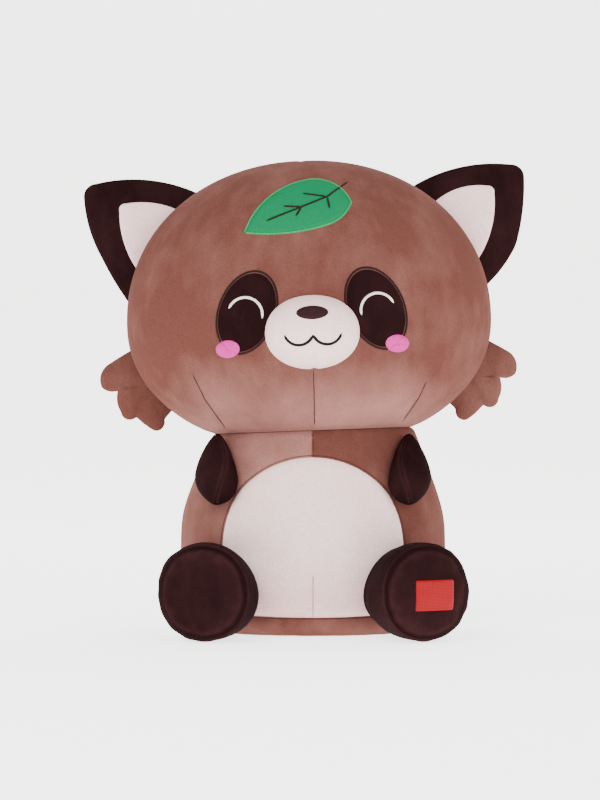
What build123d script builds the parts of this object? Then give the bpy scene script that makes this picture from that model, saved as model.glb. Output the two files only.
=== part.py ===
from build123d import *
from functools import cache
import math
import os

# A stuffed tanuki that sits facing -Y with the flat of its base on Z = 0.
# X = 0 is the middle of its base, and left and right are as seen from the front.

# Cloth, thread and clearances
CLOTH = 1.6
FELT = 1.2
THREAD = 0.9
SEAT_GAP = 0.3
ROOT_GAP = 0.8
FLOOR_CUT = 0.5

# Head, from its neck seam up, in its own frame
HEAD_HALF_WIDTH = 117.0
HEAD_HALF_DEPTH = 84.0
HEAD_RISE = 103.0
HEAD_DROP = 82.0
HEAD_LEVEL = 70.0
HEAD_ROUNDNESS = 2.1
HEAD_LOWER_SECTIONS = 5
HEAD_UPPER_SECTIONS = 6
HEAD_TOP_LATITUDE = 86.0
HEAD_ROLL = -2.0
HEAD_YAW = 1.2
SIDE_SEAM_BACK = 8.0

# Torso, from its base up to the neck seam, as shares of height, width and depth
NECK_HEIGHT = 127.0
TORSO_HALF_WIDTH = 85.0
TORSO_HALF_DEPTH = 69.0
BASE_SEAM_HEIGHT = 12.0
TORSO_SHARES = (
    (0.0, 0.776, 0.783),
    (0.032, 0.882, 0.884),
    (0.095, 0.953, 0.957),
    (0.22, 0.994, 0.995),
    (0.39, 1.0, 1.0),
    (0.59, 0.982, 0.949),
    (0.764, 0.898, 0.848),
    (0.93, 0.8, 0.725),
    (1.04, 0.735, 0.65),
)

# Tummy patch, the pale panel of the torso front
TUMMY_TOP = 111.5
TUMMY_SHOULDER_HALF_WIDTH = 47.2
TUMMY_SHOULDER_HEIGHT = 89.0
TUMMY_HALF_WIDTH = 57.0
TUMMY_WIDEST_HEIGHT = 58.0
TUMMY_FOOT_HALF_WIDTH = 36.0

# Weighting pouch in the bottom of the torso
POUCH_HALF_WIDTH = 46.0
POUCH_HALF_DEPTH = 36.0
POUCH_HEIGHT = 26.0
POUCH_CLOTH = 1.0
POUCH_SHARES = (
    (0.0, 0.72, 0.72),
    (0.18, 0.93, 0.93),
    (0.45, 1.0, 1.0),
    (0.75, 0.86, 0.86),
    (1.0, 0.5, 0.5),
)

# Muzzle, nose and mouth
MUZZLE_HALF_WIDTH = 29.6
MUZZLE_HALF_HEIGHT = 23.0
MUZZLE_HEIGHT = 60.0
MUZZLE_FRONT = 99.0
MUZZLE_BACK = 74.0
MUZZLE_ROUNDNESS = 2.4
MUZZLE_SECTIONS = 6
MUZZLE_END_LATITUDE = 84.0
NOSE_HALF_WIDTH = 9.8
NOSE_HALF_HEIGHT = 4.1
NOSE_HEIGHT = 70.7
MOUTH_HALF_WIDTH = 17.2
MOUTH_END_HEIGHT = 57.4
MOUTH_LOBE_OUT = 9.7
MOUTH_LOBE_HEIGHT = 51.5
MOUTH_STROKE = 1.6

# Eye patches, smiling eye lines and blushes
EYE_OUT = 39.3
EYE_HEIGHT = 73.0
EYE_HALF_LENGTH = 26.7
EYE_HALF_WIDTH = 18.1
EYE_LEAN = 22.0
EYE_BORDER = 1.8
EYE_LINE_STROKE = 2.3
EYE_LINE_SHARES = ((-0.503, -0.15), (0.077, 0.34), (0.597, 0.105))
BLUSH_OUT = 51.75
BLUSH_HEIGHT = 51.2
BLUSH_HALF_WIDTH = 7.5
BLUSH_HALF_HEIGHT = 5.4

# Leaf on the brow: its rim in arcs and its veins, as shares of its length and width
LEAF_LENGTH = 66.0
LEAF_WIDTH = 35.0
LEAF_OUT = -6.0
LEAF_HEIGHT = 138.0
LEAF_BORDER = 1.6
VEIN_STROKE = 1.5
LEAF_SHARES = (
    (-0.497, -0.446),
    (-0.242, 0.211),
    (0.123, 0.497),
    (0.394, 0.337),
    (0.5, 0.043),
    (0.417, -0.2),
    (0.285, -0.351),
    (-0.091, -0.486),
)
VEIN_SHARES = (
    ((0.465, 0.4), (0.279, 0.157)),
    ((0.279, 0.157), (0.035, -0.023)),
    ((0.035, -0.023), (-0.298, -0.257)),
    ((0.279, 0.157), (0.048, 0.231)),
    ((0.279, 0.157), (0.297, -0.077)),
    ((0.035, -0.023), (-0.138, 0.003)),
    ((0.035, -0.023), (-0.023, -0.2)),
)

# Ears: along the axis out from the root, width, thickness and sideways shift
EAR_ROOT_OUT = 94.0
EAR_ROOT_HEIGHT = 123.3
EAR_TILT = 54.5
EAR_LENGTH = 61.5
EAR_HALF_WIDTH = 39.6
EAR_HALF_THICKNESS = 8.0
EAR_SWING = 20.0
EAR_SHARES = (
    (-0.08, 0.99, 0.3, 0.0),
    (0.16, 0.93, 0.3, 0.0),
    (0.36, 0.85, 0.62, 0.01),
    (0.58, 0.67, 0.95, 0.04),
    (0.79, 0.4, 0.88, 0.12),
    (0.93, 0.2, 0.6, 0.14),
    (1.0, 0.07, 0.3, 0.13),
)
EAR_HOLLOW_SHARES = EAR_SHARES[2:-1]
LINING_SHARES = (
    (-0.1, -0.66),
    (0.1, -0.56),
    (0.28, -0.42),
    (0.58, 0.0),
    (0.63, 0.18),
    (0.58, 0.32),
    (0.34, 0.52),
    (0.1, 0.6),
    (-0.1, 0.62),
)

# Cheek tufts: down the chord of their root and out from it, in arcs
TUFT_TOP_OUT = 113.5
TUFT_TOP_HEIGHT = 54.8
TUFT_ROOT_LENGTH = 43.9
TUFT_TILT = -30.6
TUFT_HALF_THICKNESS = 3.0
TUFT_CLOTH = 1.2
TUFT_SWING = 20.0
TUFT_SHARES = (
    (0.0, -0.15),
    (-0.01, 0.15),
    (0.02, 0.45),
    (0.2, 0.61),
    (0.38, 0.42),
    (0.56, 0.55),
    (0.78, 0.575),
    (0.86, 0.52),
    (0.84, 0.41),
    (1.0, 0.4),
    (1.14, 0.345),
    (1.23, 0.26),
    (1.18, 0.18),
    (1.1, 0.07),
    (0.97, -0.08),
    (0.5, -0.3),
)

# Arms, hanging from the shoulder seam
ARM_TOP_OUT = 57.0
ARM_TOP_FRONT = 31.0
ARM_TOP_HEIGHT = 121.5
ARM_END_OUT = 60.5
ARM_END_FRONT = 54.0
ARM_END_HEIGHT = 81.0
ARM_FACING = 41.0
ARM_HALF_WIDTH = 16.0
ARM_HALF_THICKNESS = 11.0
ARM_HINGE_INSET = 5.0
ARM_SWING = 40.0
ARM_SHARES = (
    (0.0, 0.3, 0.3),
    (0.1, 0.5, 0.5),
    (0.3, 0.78, 0.78),
    (0.52, 0.95, 0.95),
    (0.7, 1.0, 1.0),
    (0.86, 0.82, 0.82),
    (0.95, 0.54, 0.54),
    (1.0, 0.26, 0.26),
)

# Legs, from the sole seam back into the torso: width, thickness and outward shift
# The sole swells to a crown that stands a little past its sections.
LEG_HALF_WIDTH = 30.0
LEG_HALF_HEIGHT = 31.3
LEG_LENGTH = 74.0
SOLE_FRONT = 104.0
LEFT_SOLE_OUT = 65.5
RIGHT_SOLE_OUT = 67.0
LEFT_SPLAY = 22.0
RIGHT_SPLAY = 28.0
LEG_HINGE_SHARE = 0.85
LEG_HINGE_RISE = 20.0
LEG_SWING = 12.0
LEG_SHARES = (
    (0.0, 0.94, 0.94, 0.0),
    (0.2, 1.0, 1.0, 0.16),
    (0.4, 0.97, 0.97, 0.33),
    (0.6, 0.89, 0.89, 0.46),
    (0.8, 0.81, 0.81, 0.58),
    (1.0, 0.75, 0.75, 0.7),
)
SOLE_SWELL = 4.0
SOLE_CROWN = 4.8
SOLE_ROUNDNESS = 2.6
SOLE_SECTIONS = 4
SOLE_END_LATITUDE = 80.0

# Label on the sole of the right foot
LABEL_LENGTH = 26.9
LABEL_HEIGHT = 17.3
LABEL_THICKNESS = 0.8
LABEL_OUT = 5.0
LABEL_DROP = 2.0

# Tail, out of the back of the torso
TAIL_RADIUS = 17.0
TAIL_LENGTH = 66.0
TAIL_ROOT_BACK = 52.0
TAIL_ROOT_HEIGHT = 30.0
TAIL_RISE = 22.0
TAIL_HINGE_BACK = 69.0
TAIL_HINGE_HEIGHT = 43.0
TAIL_SWING = 45.0
TAIL_TIP_SHARE = 0.68
TAIL_SHARES = (
    (0.0, 0.62, 0.62),
    (0.2, 0.74, 0.74),
    (0.45, 0.93, 0.93),
    (0.65, 1.0, 1.0),
    (0.83, 0.86, 0.86),
    (0.94, 0.58, 0.58),
    (1.0, 0.24, 0.24),
)

# Care label in the base seam at the back
CARE_WIDTH = 18.0
CARE_OUT = -33.0
CARE_BACK = 88.0
CARE_THICKNESS = 0.6

# Room that a cutting solid has past what it cuts
OVERRUN = 60.0

HEAD_POSE = Pos(0, 0, NECK_HEIGHT) * Rot(0, HEAD_ROLL, 0) * Rot(0, 0, HEAD_YAW)


# Forms that swell and taper, as lofts through ovals of four arcs

def oval_wire(half_width, half_depth, place, shift=0.0):
    """A closed oval of four arcs, tangent to one another."""
    diagonal = math.hypot(half_width, half_depth)
    spread = (half_width - half_depth) * diagonal
    end_radius = (diagonal**2 - spread) / (2 * half_width)
    x = half_width - end_radius + end_radius * half_depth / diagonal
    y = end_radius * half_width / diagonal
    turns = (
        ((x, y), (0, half_depth), (-x, y)),
        ((-x, y), (-half_width, 0), (-x, -y)),
        ((-x, -y), (0, -half_depth), (x, -y)),
        ((x, -y), (half_width, 0), (x, y)),
    )
    arcs = []
    for turn in turns:
        points = [(across + shift, along, 0) for across, along in turn]
        arcs.append(Edge.make_three_point_arc(*points))
    return place * Wire(arcs)


def loft_ovals(ovals, plane=Plane.XY):
    """A solid through ovals, each given as height, half width, half depth and shift."""
    wires = []
    for height, half_width, half_depth, shift in ovals:
        place = plane.location * Location((0, 0, height))
        wires.append(oval_wire(half_width, half_depth, place, shift))
    return Solid.make_loft(wires)


def stuffed(shares, length, half_width, half_thickness, plane=Plane.XY, grow=0.0):
    """A stuffed form from a table of shares, grown or shrunk all round."""
    ovals = []
    for along, width, thickness, *shift in shares:
        height = along * (length + 2 * grow) - grow
        across = width * (half_width + grow)
        through = thickness * (half_thickness + grow)
        ovals.append((height, across, through, sum(shift) * half_width))
    return loft_ovals(ovals, plane)


def rounded_ovals(start, end, steps, half_width, half_depth, reach, roundness, level=0.0):
    """Ovals at even latitudes of a rounded form, from its widest level to its end."""
    power = 2 / roundness
    ovals = []
    for number in range(steps + 1):
        latitude = math.radians(start * (1 - number / steps) + end * number / steps)
        share = math.cos(latitude) ** power
        height = level + reach * math.sin(latitude) ** power
        ovals.append((height, share * half_width, share * half_depth, 0.0))
    return ovals


def clear_swing(limb, carrier, axis, swings):
    """A limb cut free of what carries it at each swing about its root seam."""
    for swing in swings:
        limb = limb - carrier.rotate(axis, -swing)
    return limb


# Outlines, drawn as the front is seen

def ellipse_face(out, height, half_width, half_height, lean=0.0):
    """An upright ellipse whose top leans towards -X by some degrees."""
    return Pos(out, height) * Rot(0, 0, lean) * Ellipse(half_width, half_height)


def arcs_face(points):
    """A face whose rim runs in arcs from each even point, through the next, to the one after."""
    arcs = []
    for number in range(0, len(points), 2):
        end = points[(number + 2) % len(points)]
        arcs.append(ThreePointArc(points[number], points[number + 1], end))
    return make_face(arcs)


def arc_band(start, middle, end, width):
    """A band of even width along the arc through three points."""
    centre = ThreePointArc(start, middle, end).arc_center
    rows = []
    for half in (width / 2, -width / 2):
        row = []
        for point in (start, middle, end):
            spoke = Vector(*point) - centre
            row.append(centre + spoke * ((spoke.length + half) / spoke.length))
        rows.append(row)
    outer, inner = rows
    edges = [ThreePointArc(*outer), ThreePointArc(*inner)]
    edges.append(Line(outer[0], inner[0]))
    edges.append(Line(outer[2], inner[2]))
    return make_face(edges)


def line_band(start, end, width):
    """A straight band of even width with square ends, half a width past its points."""
    run = Vector(*end) - Vector(*start)
    middle = (Vector(*start) + Vector(*end)) / 2
    turn = math.degrees(math.atan2(run.Y, run.X))
    return Pos(middle.X, middle.Y) * Rot(0, 0, turn) * Rectangle(run.length + width, width)


def forward(face):
    """An outline run forward from the middle of the head or torso, past its front."""
    return extrude(Plane.XZ * face, amount=HEAD_HALF_DEPTH + OVERRUN)


# Head

@cache
def head_solid(grow=0.0):
    """The stuffed head, grown or shrunk all round, cut flat at the neck seam."""
    drop = HEAD_DROP + grow
    neck_latitude = math.degrees(math.asin((HEAD_LEVEL / drop) ** (HEAD_ROUNDNESS / 2)))
    size = (HEAD_HALF_WIDTH + grow, HEAD_HALF_DEPTH + grow)
    lower = rounded_ovals(
        neck_latitude, 0, HEAD_LOWER_SECTIONS, *size, -drop, HEAD_ROUNDNESS, HEAD_LEVEL
    )
    upper = rounded_ovals(
        0, HEAD_TOP_LATITUDE, HEAD_UPPER_SECTIONS, *size, HEAD_RISE + grow, HEAD_ROUNDNESS, HEAD_LEVEL
    )
    return loft_ovals(lower + upper[1:])


def head_layer(start, end):
    """The layer over the head between two distances from its surface."""
    return head_solid(end) - head_solid(start)


def head_touch(way):
    """The point of the head's side seam that lies furthest along a way in its plane."""
    power = HEAD_ROUNDNESS / (HEAD_ROUNDNESS - 1)
    half_height = HEAD_RISE if way.Z > 0 else HEAD_DROP
    across = HEAD_HALF_WIDTH * abs(way.X)
    up = half_height * abs(way.Z)
    reach = (across**power + up**power) ** (1 / power)
    x = HEAD_HALF_WIDTH * (across / reach) ** (power - 1)
    z = half_height * (up / reach) ** (power - 1)
    return Vector(x, SIDE_SEAM_BACK, HEAD_LEVEL + math.copysign(z, way.Z))


def split_front(solid):
    """What lies in front of the side seams."""
    return split(solid, bisect_by=Plane.XZ.offset(-SIDE_SEAM_BACK), keep=Keep.TOP)


def split_back(solid):
    """What lies behind the side seams, left and right of the centre back seam."""
    back = split(solid, bisect_by=Plane.XZ.offset(-SIDE_SEAM_BACK), keep=Keep.BOTTOM)
    left = split(back, bisect_by=Plane.YZ, keep=Keep.BOTTOM)
    right = split(back, bisect_by=Plane.YZ, keep=Keep.TOP)
    return left, right


def skull_parts():
    shell = head_layer(-CLOTH, 0.0)
    back_left, back_right = split_back(shell)
    return {
        "head_front_panel": split_front(shell),
        "head_back_left_panel": back_left,
        "head_back_right_panel": back_right,
        "head_stuffing": head_solid(-CLOTH - SEAT_GAP),
    }


# Muzzle, nose and mouth

@cache
def muzzle_solid(grow=0.0):
    """The dome of the muzzle, lying along -Y, with its back inside the head."""
    plane = Plane(origin=(0, -MUZZLE_BACK, MUZZLE_HEIGHT), x_dir=(1, 0, 0), z_dir=(0, -1, 0))
    size = (MUZZLE_HALF_WIDTH + grow, MUZZLE_HALF_HEIGHT + grow)
    reach = MUZZLE_FRONT - MUZZLE_BACK + grow
    ovals = rounded_ovals(0, MUZZLE_END_LATITUDE, MUZZLE_SECTIONS, *size, reach, MUZZLE_ROUNDNESS)
    return loft_ovals(ovals, plane)


def muzzle_parts():
    seat = head_solid(SEAT_GAP)
    over = muzzle_solid(SEAT_GAP + THREAD) - muzzle_solid(SEAT_GAP) - seat
    nose = ellipse_face(0, NOSE_HEIGHT, NOSE_HALF_WIDTH, NOSE_HALF_HEIGHT)
    peak = (0, MOUTH_END_HEIGHT)
    mouth = Sketch()
    for side in (-1, 1):
        end = (side * MOUTH_HALF_WIDTH, MOUTH_END_HEIGHT)
        lobe = (side * MOUTH_LOBE_OUT, MOUTH_LOBE_HEIGHT)
        mouth += arc_band(end, lobe, peak, MOUTH_STROKE)
    return {
        "muzzle_cover": muzzle_solid() - muzzle_solid(-CLOTH) - seat,
        "muzzle_stuffing": muzzle_solid(-CLOTH - SEAT_GAP) - seat,
        "nose_embroidery": over & forward(nose),
        "mouth_embroidery": over & forward(mouth),
    }


# Eyes and blushes, drawn for the right side

def eye_parts():
    rim = ellipse_face(EYE_OUT, EYE_HEIGHT, EYE_HALF_WIDTH, EYE_HALF_LENGTH, EYE_LEAN)
    inner_width = EYE_HALF_WIDTH - EYE_BORDER
    inner_length = EYE_HALF_LENGTH - EYE_BORDER
    field = ellipse_face(EYE_OUT, EYE_HEIGHT, inner_width, inner_length, EYE_LEAN)
    spot = ellipse_face(BLUSH_OUT, BLUSH_HEIGHT, BLUSH_HALF_WIDTH, BLUSH_HALF_HEIGHT)
    muzzle = muzzle_solid(SEAT_GAP)
    felt = head_layer(SEAT_GAP, SEAT_GAP + FELT)
    satin = head_layer(SEAT_GAP, SEAT_GAP + FELT + THREAD)
    points = []
    for across, up in EYE_LINE_SHARES:
        points.append((EYE_OUT + across * EYE_HALF_WIDTH, EYE_HEIGHT + up * EYE_HALF_LENGTH))
    line = arc_band(*points, EYE_LINE_STROKE)
    over_felt = SEAT_GAP + FELT + SEAT_GAP
    over_satin = over_felt + THREAD
    return {
        "eye_patch": (felt & forward(field)) - muzzle,
        "eye_border": (satin & forward(rim - field)) - muzzle,
        "eye_stitching": head_layer(over_felt, over_satin) & forward(line),
        "blush": head_layer(over_satin, over_satin + THREAD) & forward(spot),
    }


# Leaf

def leaf_point(share):
    across, up = share
    return (LEAF_OUT + across * LEAF_LENGTH, LEAF_HEIGHT + up * LEAF_WIDTH)


def leaf_parts():
    rim = arcs_face([leaf_point(share) for share in LEAF_SHARES])
    field = offset(rim, amount=-LEAF_BORDER)
    veins = Sketch()
    for start, end in VEIN_SHARES:
        veins += line_band(leaf_point(start), leaf_point(end), VEIN_STROKE)
    top = SEAT_GAP + FELT + SEAT_GAP + THREAD
    return {
        "leaf_applique": head_layer(SEAT_GAP, SEAT_GAP + FELT) & forward(field),
        "leaf_border": head_layer(SEAT_GAP, top - SEAT_GAP) & forward(rim - field),
        "leaf_vein_stitching": head_layer(top, top + THREAD) & forward(veins),
    }


# Ears, drawn for the right side

def ear_plane():
    """The way out of the head as Z, the chord of the ear's root as X and its front as Y."""
    tilt = math.radians(EAR_TILT)
    return Plane(
        origin=(EAR_ROOT_OUT, SIDE_SEAM_BACK, EAR_ROOT_HEIGHT),
        x_dir=(-math.cos(tilt), 0, math.sin(tilt)),
        z_dir=(math.sin(tilt), 0, math.cos(tilt)),
    )


def ear_axis():
    """The line that the ear tips about, where the head reaches furthest into its root."""
    return Axis(head_touch(ear_plane().z_dir), ear_plane().x_dir)


def ear_form(shares, grow=0.0):
    return stuffed(shares, EAR_LENGTH, EAR_HALF_WIDTH, EAR_HALF_THICKNESS, ear_plane(), grow)


def ear_parts():
    swings = (0.0, -EAR_SWING, EAR_SWING)
    outer = clear_swing(ear_form(EAR_SHARES), head_solid(ROOT_GAP), ear_axis(), swings)
    cover = outer - ear_form(EAR_HOLLOW_SHARES, -CLOTH)
    plane = ear_plane()
    rim = []
    for along, across in LINING_SHARES:
        corner = plane.from_local_coords((across * EAR_HALF_WIDTH, 0, along * EAR_LENGTH))
        rim.append((corner.X, corner.Z))
    room = Pos(0, SIDE_SEAM_BACK, 0) * forward(make_face(Polyline(*rim, close=True)))
    return {
        "ear_cover": cover - room,
        "ear_lining": cover & room,
        "ear_wadding": ear_form(EAR_HOLLOW_SHARES, -CLOTH - SEAT_GAP),
    }


# Cheek tufts, drawn for the right side

def tuft_plane():
    """Down the chord of the tuft's root as X and the way out of the head as Y."""
    tilt = math.radians(TUFT_TILT)
    return Plane(
        origin=(TUFT_TOP_OUT, SIDE_SEAM_BACK, TUFT_TOP_HEIGHT),
        x_dir=(math.sin(tilt), 0, -math.cos(tilt)),
        z_dir=(0, -1, 0),
    )


def tuft_axis():
    """The line that the tuft flaps about, where the head reaches furthest into its root."""
    return Axis(head_touch(tuft_plane().y_dir), tuft_plane().x_dir)


def tuft_parts():
    points = []
    for along, out in TUFT_SHARES:
        points.append((along * TUFT_ROOT_LENGTH, out * TUFT_ROOT_LENGTH))
    face = arcs_face(points)
    swings = (0.0, -TUFT_SWING, TUFT_SWING)
    slabs = []
    for inset in (0.0, TUFT_CLOTH, TUFT_CLOTH + SEAT_GAP):
        shape = offset(face, amount=-inset) if inset else face
        slab = extrude(tuft_plane() * shape, amount=TUFT_HALF_THICKNESS - inset, both=True)
        slabs.append(clear_swing(slab, head_solid(ROOT_GAP + inset), tuft_axis(), swings))
    outer, room, wadding = slabs
    return {"tuft_cover": outer - room, "tuft_wadding": wadding}


# Torso

@cache
def torso_solid(grow=0.0):
    """The stuffed torso, grown or shrunk all round, up to the rolled neck seam."""
    form = stuffed(TORSO_SHARES, NECK_HEIGHT, TORSO_HALF_WIDTH, TORSO_HALF_DEPTH, grow=grow)
    return split(form, bisect_by=Plane(HEAD_POSE), keep=Keep.BOTTOM)


def tummy_face():
    """The outline of the tummy patch, a dome that narrows again to its foot."""
    right_shoulder = (TUMMY_SHOULDER_HALF_WIDTH, TUMMY_SHOULDER_HEIGHT)
    left_shoulder = (-TUMMY_SHOULDER_HALF_WIDTH, TUMMY_SHOULDER_HEIGHT)
    right_foot = (TUMMY_FOOT_HALF_WIDTH, 0)
    left_foot = (-TUMMY_FOOT_HALF_WIDTH, 0)
    edges = [
        ThreePointArc(left_shoulder, (0, TUMMY_TOP), right_shoulder),
        ThreePointArc(right_shoulder, (TUMMY_HALF_WIDTH, TUMMY_WIDEST_HEIGHT), right_foot),
        Line(right_foot, left_foot),
        ThreePointArc(left_foot, (-TUMMY_HALF_WIDTH, TUMMY_WIDEST_HEIGHT), left_shoulder),
    ]
    return make_face(edges)


def pouch_solid(grow=0.0):
    floor = Plane.XY.offset(CLOTH + SEAT_GAP)
    return stuffed(POUCH_SHARES, POUCH_HEIGHT, POUCH_HALF_WIDTH, POUCH_HALF_DEPTH, floor, grow)


def torso_parts():
    shell = torso_solid() - torso_solid(-CLOTH)
    seam = Plane.XY.offset(BASE_SEAM_HEIGHT)
    side = split(shell, bisect_by=seam, keep=Keep.TOP)
    front = split_front(side)
    back_left, back_right = split_back(side)
    patch = forward(tummy_face())
    return {
        "torso_front_panel": front - patch,
        "tummy_patch": front & patch,
        "torso_back_left_panel": back_left,
        "torso_back_right_panel": back_right,
        "base_panel": split(shell, bisect_by=seam, keep=Keep.BOTTOM),
        "torso_stuffing": torso_solid(-CLOTH - SEAT_GAP) - pouch_solid(SEAT_GAP),
        "pellet_pouch": pouch_solid() - pouch_solid(-POUCH_CLOTH),
        "pellets": pouch_solid(-POUCH_CLOTH - SEAT_GAP),
    }


def care_label():
    reach = CARE_BACK - SIDE_SEAM_BACK
    middle = Pos(CARE_OUT, SIDE_SEAM_BACK + reach / 2, BASE_SEAM_HEIGHT)
    return middle * Box(CARE_WIDTH, reach, CARE_THICKNESS) - torso_solid(SEAT_GAP)


# Arms, drawn for the right side

def arm_run():
    """The arm from its shoulder to its end."""
    top = Vector(ARM_TOP_OUT, -ARM_TOP_FRONT, ARM_TOP_HEIGHT)
    end = Vector(ARM_END_OUT, -ARM_END_FRONT, ARM_END_HEIGHT)
    return top, end


def arm_across():
    """The level way across the arm, along the torso's side."""
    facing = math.radians(ARM_FACING)
    return Vector(math.cos(facing), math.sin(facing), 0)


def arm_axis():
    """The level line in the shoulder seam that the arm lifts about."""
    top, _ = arm_run()
    inward = Vector(0, 0, 1).cross(arm_across())
    return Axis(top + inward * ARM_HINGE_INSET, -arm_across())


def arm_form(grow=0.0):
    top, end = arm_run()
    plane = Plane(origin=top, x_dir=arm_across(), z_dir=end - top)
    length = (end - top).length
    return stuffed(ARM_SHARES, length, ARM_HALF_WIDTH, ARM_HALF_THICKNESS, plane, grow)


def arm_parts():
    swings = (0.0, ARM_SWING / 2, ARM_SWING)
    seat = torso_solid(ROOT_GAP)
    outer = clear_swing(arm_form(), seat, arm_axis(), swings)
    inner = clear_swing(arm_form(-CLOTH), seat, arm_axis(), swings)
    wadding = clear_swing(arm_form(-CLOTH - SEAT_GAP), seat, arm_axis(), swings)
    return {"arm_cover": outer - inner, "arm_stuffing": wadding}


# Legs, drawn for the right side

def leg_plane(out, splay):
    """The way from the sole back into the torso as Z, and the sole's level width as X."""
    turn = math.radians(splay)
    return Plane(
        origin=(out, -SOLE_FRONT, LEG_HALF_HEIGHT - FLOOR_CUT),
        x_dir=(math.cos(turn), math.sin(turn), 0),
        z_dir=(-math.sin(turn), math.cos(turn), 0),
    )


def leg_axis(plane):
    """The level line at the top of the leg's root that its toe lifts about."""
    root = plane.origin + plane.z_dir * LEG_LENGTH * LEG_HINGE_SHARE
    return Axis(root + Vector(0, 0, LEG_HINGE_RISE), -plane.x_dir)


def leg_form(plane, grow=0.0):
    """A leg and the swell of its sole, grown or shrunk all round, flat where it rests."""
    form = stuffed(LEG_SHARES, LEG_LENGTH, LEG_HALF_WIDTH, LEG_HALF_HEIGHT, plane, grow)
    share = LEG_SHARES[0][1]
    size = (share * (LEG_HALF_WIDTH + grow), share * (LEG_HALF_HEIGHT + grow))
    swell = rounded_ovals(
        0, SOLE_END_LATITUDE, SOLE_SECTIONS, *size, -SOLE_SWELL, SOLE_ROUNDNESS, -grow
    )
    form += loft_ovals(swell, plane)
    return split(form, bisect_by=Plane.XY.offset(-grow), keep=Keep.TOP)


def leg_parts(out, splay):
    plane = leg_plane(out, splay)
    swings = (0.0, LEG_SWING)
    solids = []
    for grow in (0.0, -CLOTH, -CLOTH - SEAT_GAP):
        seat = torso_solid(ROOT_GAP)
        solids.append(clear_swing(leg_form(plane, grow), seat, leg_axis(plane), swings))
    outer, room, stuffing = solids
    cover = outer - room
    return {
        "leg_cover": split(cover, bisect_by=plane, keep=Keep.TOP),
        "sole_panel": split(cover, bisect_by=plane, keep=Keep.BOTTOM),
        "leg_stuffing": stuffing,
    }


def foot_label():
    """The woven label that lies flat on the swell of the right sole."""
    plane = leg_plane(RIGHT_SOLE_OUT, RIGHT_SPLAY)
    out = SOLE_CROWN + SEAT_GAP + LABEL_THICKNESS / 2
    place = plane.location * Pos(LABEL_OUT, LABEL_DROP, -out)
    return place * Box(LABEL_LENGTH, LABEL_HEIGHT, LABEL_THICKNESS)


# Tail

def tail_plane():
    rise = math.radians(TAIL_RISE)
    return Plane(
        origin=(0, TAIL_ROOT_BACK, TAIL_ROOT_HEIGHT),
        x_dir=(1, 0, 0),
        z_dir=(0, math.cos(rise), math.sin(rise)),
    )


def tail_axis():
    """The level line at the top of the tail's root that it lifts about."""
    return Axis((0, TAIL_HINGE_BACK, TAIL_HINGE_HEIGHT), (1, 0, 0))


def tail_parts():
    plane = tail_plane()
    swings = (0.0, TAIL_SWING / 2, TAIL_SWING)
    solids = []
    for grow in (0.0, -CLOTH, -CLOTH - SEAT_GAP):
        form = stuffed(TAIL_SHARES, TAIL_LENGTH, TAIL_RADIUS, TAIL_RADIUS, plane, grow)
        solids.append(clear_swing(form, torso_solid(ROOT_GAP), tail_axis(), swings))
    outer, room, stuffing = solids
    cover = outer - room
    seam = plane.offset(TAIL_TIP_SHARE * TAIL_LENGTH)
    return {
        "tail_cover": split(cover, bisect_by=seam, keep=Keep.BOTTOM),
        "tail_tip_cover": split(cover, bisect_by=seam, keep=Keep.TOP),
        "tail_stuffing": stuffing,
    }


# Assembly

def both_sides(solids):
    """The solids drawn for the right side, with their mirror images on the left."""
    pairs = {}
    for name, solid in solids.items():
        pairs["right_" + name] = solid
        pairs["left_" + name] = mirror(solid, about=Plane.YZ)
    return pairs


def head_nodes():
    nodes = {**skull_parts(), **muzzle_parts(), **leaf_parts()}
    nodes.update(both_sides(eye_parts()))
    nodes.update(both_sides(ear_parts()))
    nodes.update(both_sides(tuft_parts()))
    return {name: HEAD_POSE * solid for name, solid in nodes.items()}


def body_nodes():
    nodes = {**torso_parts(), **tail_parts()}
    nodes["care_label"] = care_label()
    nodes["foot_label"] = foot_label()
    nodes.update(both_sides(arm_parts()))
    for name, solid in leg_parts(RIGHT_SOLE_OUT, RIGHT_SPLAY).items():
        nodes["right_" + name] = solid
    for name, solid in leg_parts(LEFT_SOLE_OUT, LEFT_SPLAY).items():
        nodes["left_" + name] = mirror(solid, about=Plane.YZ)
    return nodes


def main():
    os.makedirs("parts", exist_ok=True)
    for name, solid in {**head_nodes(), **body_nodes()}.items():
        export_step(solid, f"parts/{name}.step")


main()
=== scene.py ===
import cmath
import math
import random

import bmesh
import bpy
import numpy as np
from mathutils import Matrix, Vector, noise
from mathutils.bvhtree import BVHTree


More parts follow.
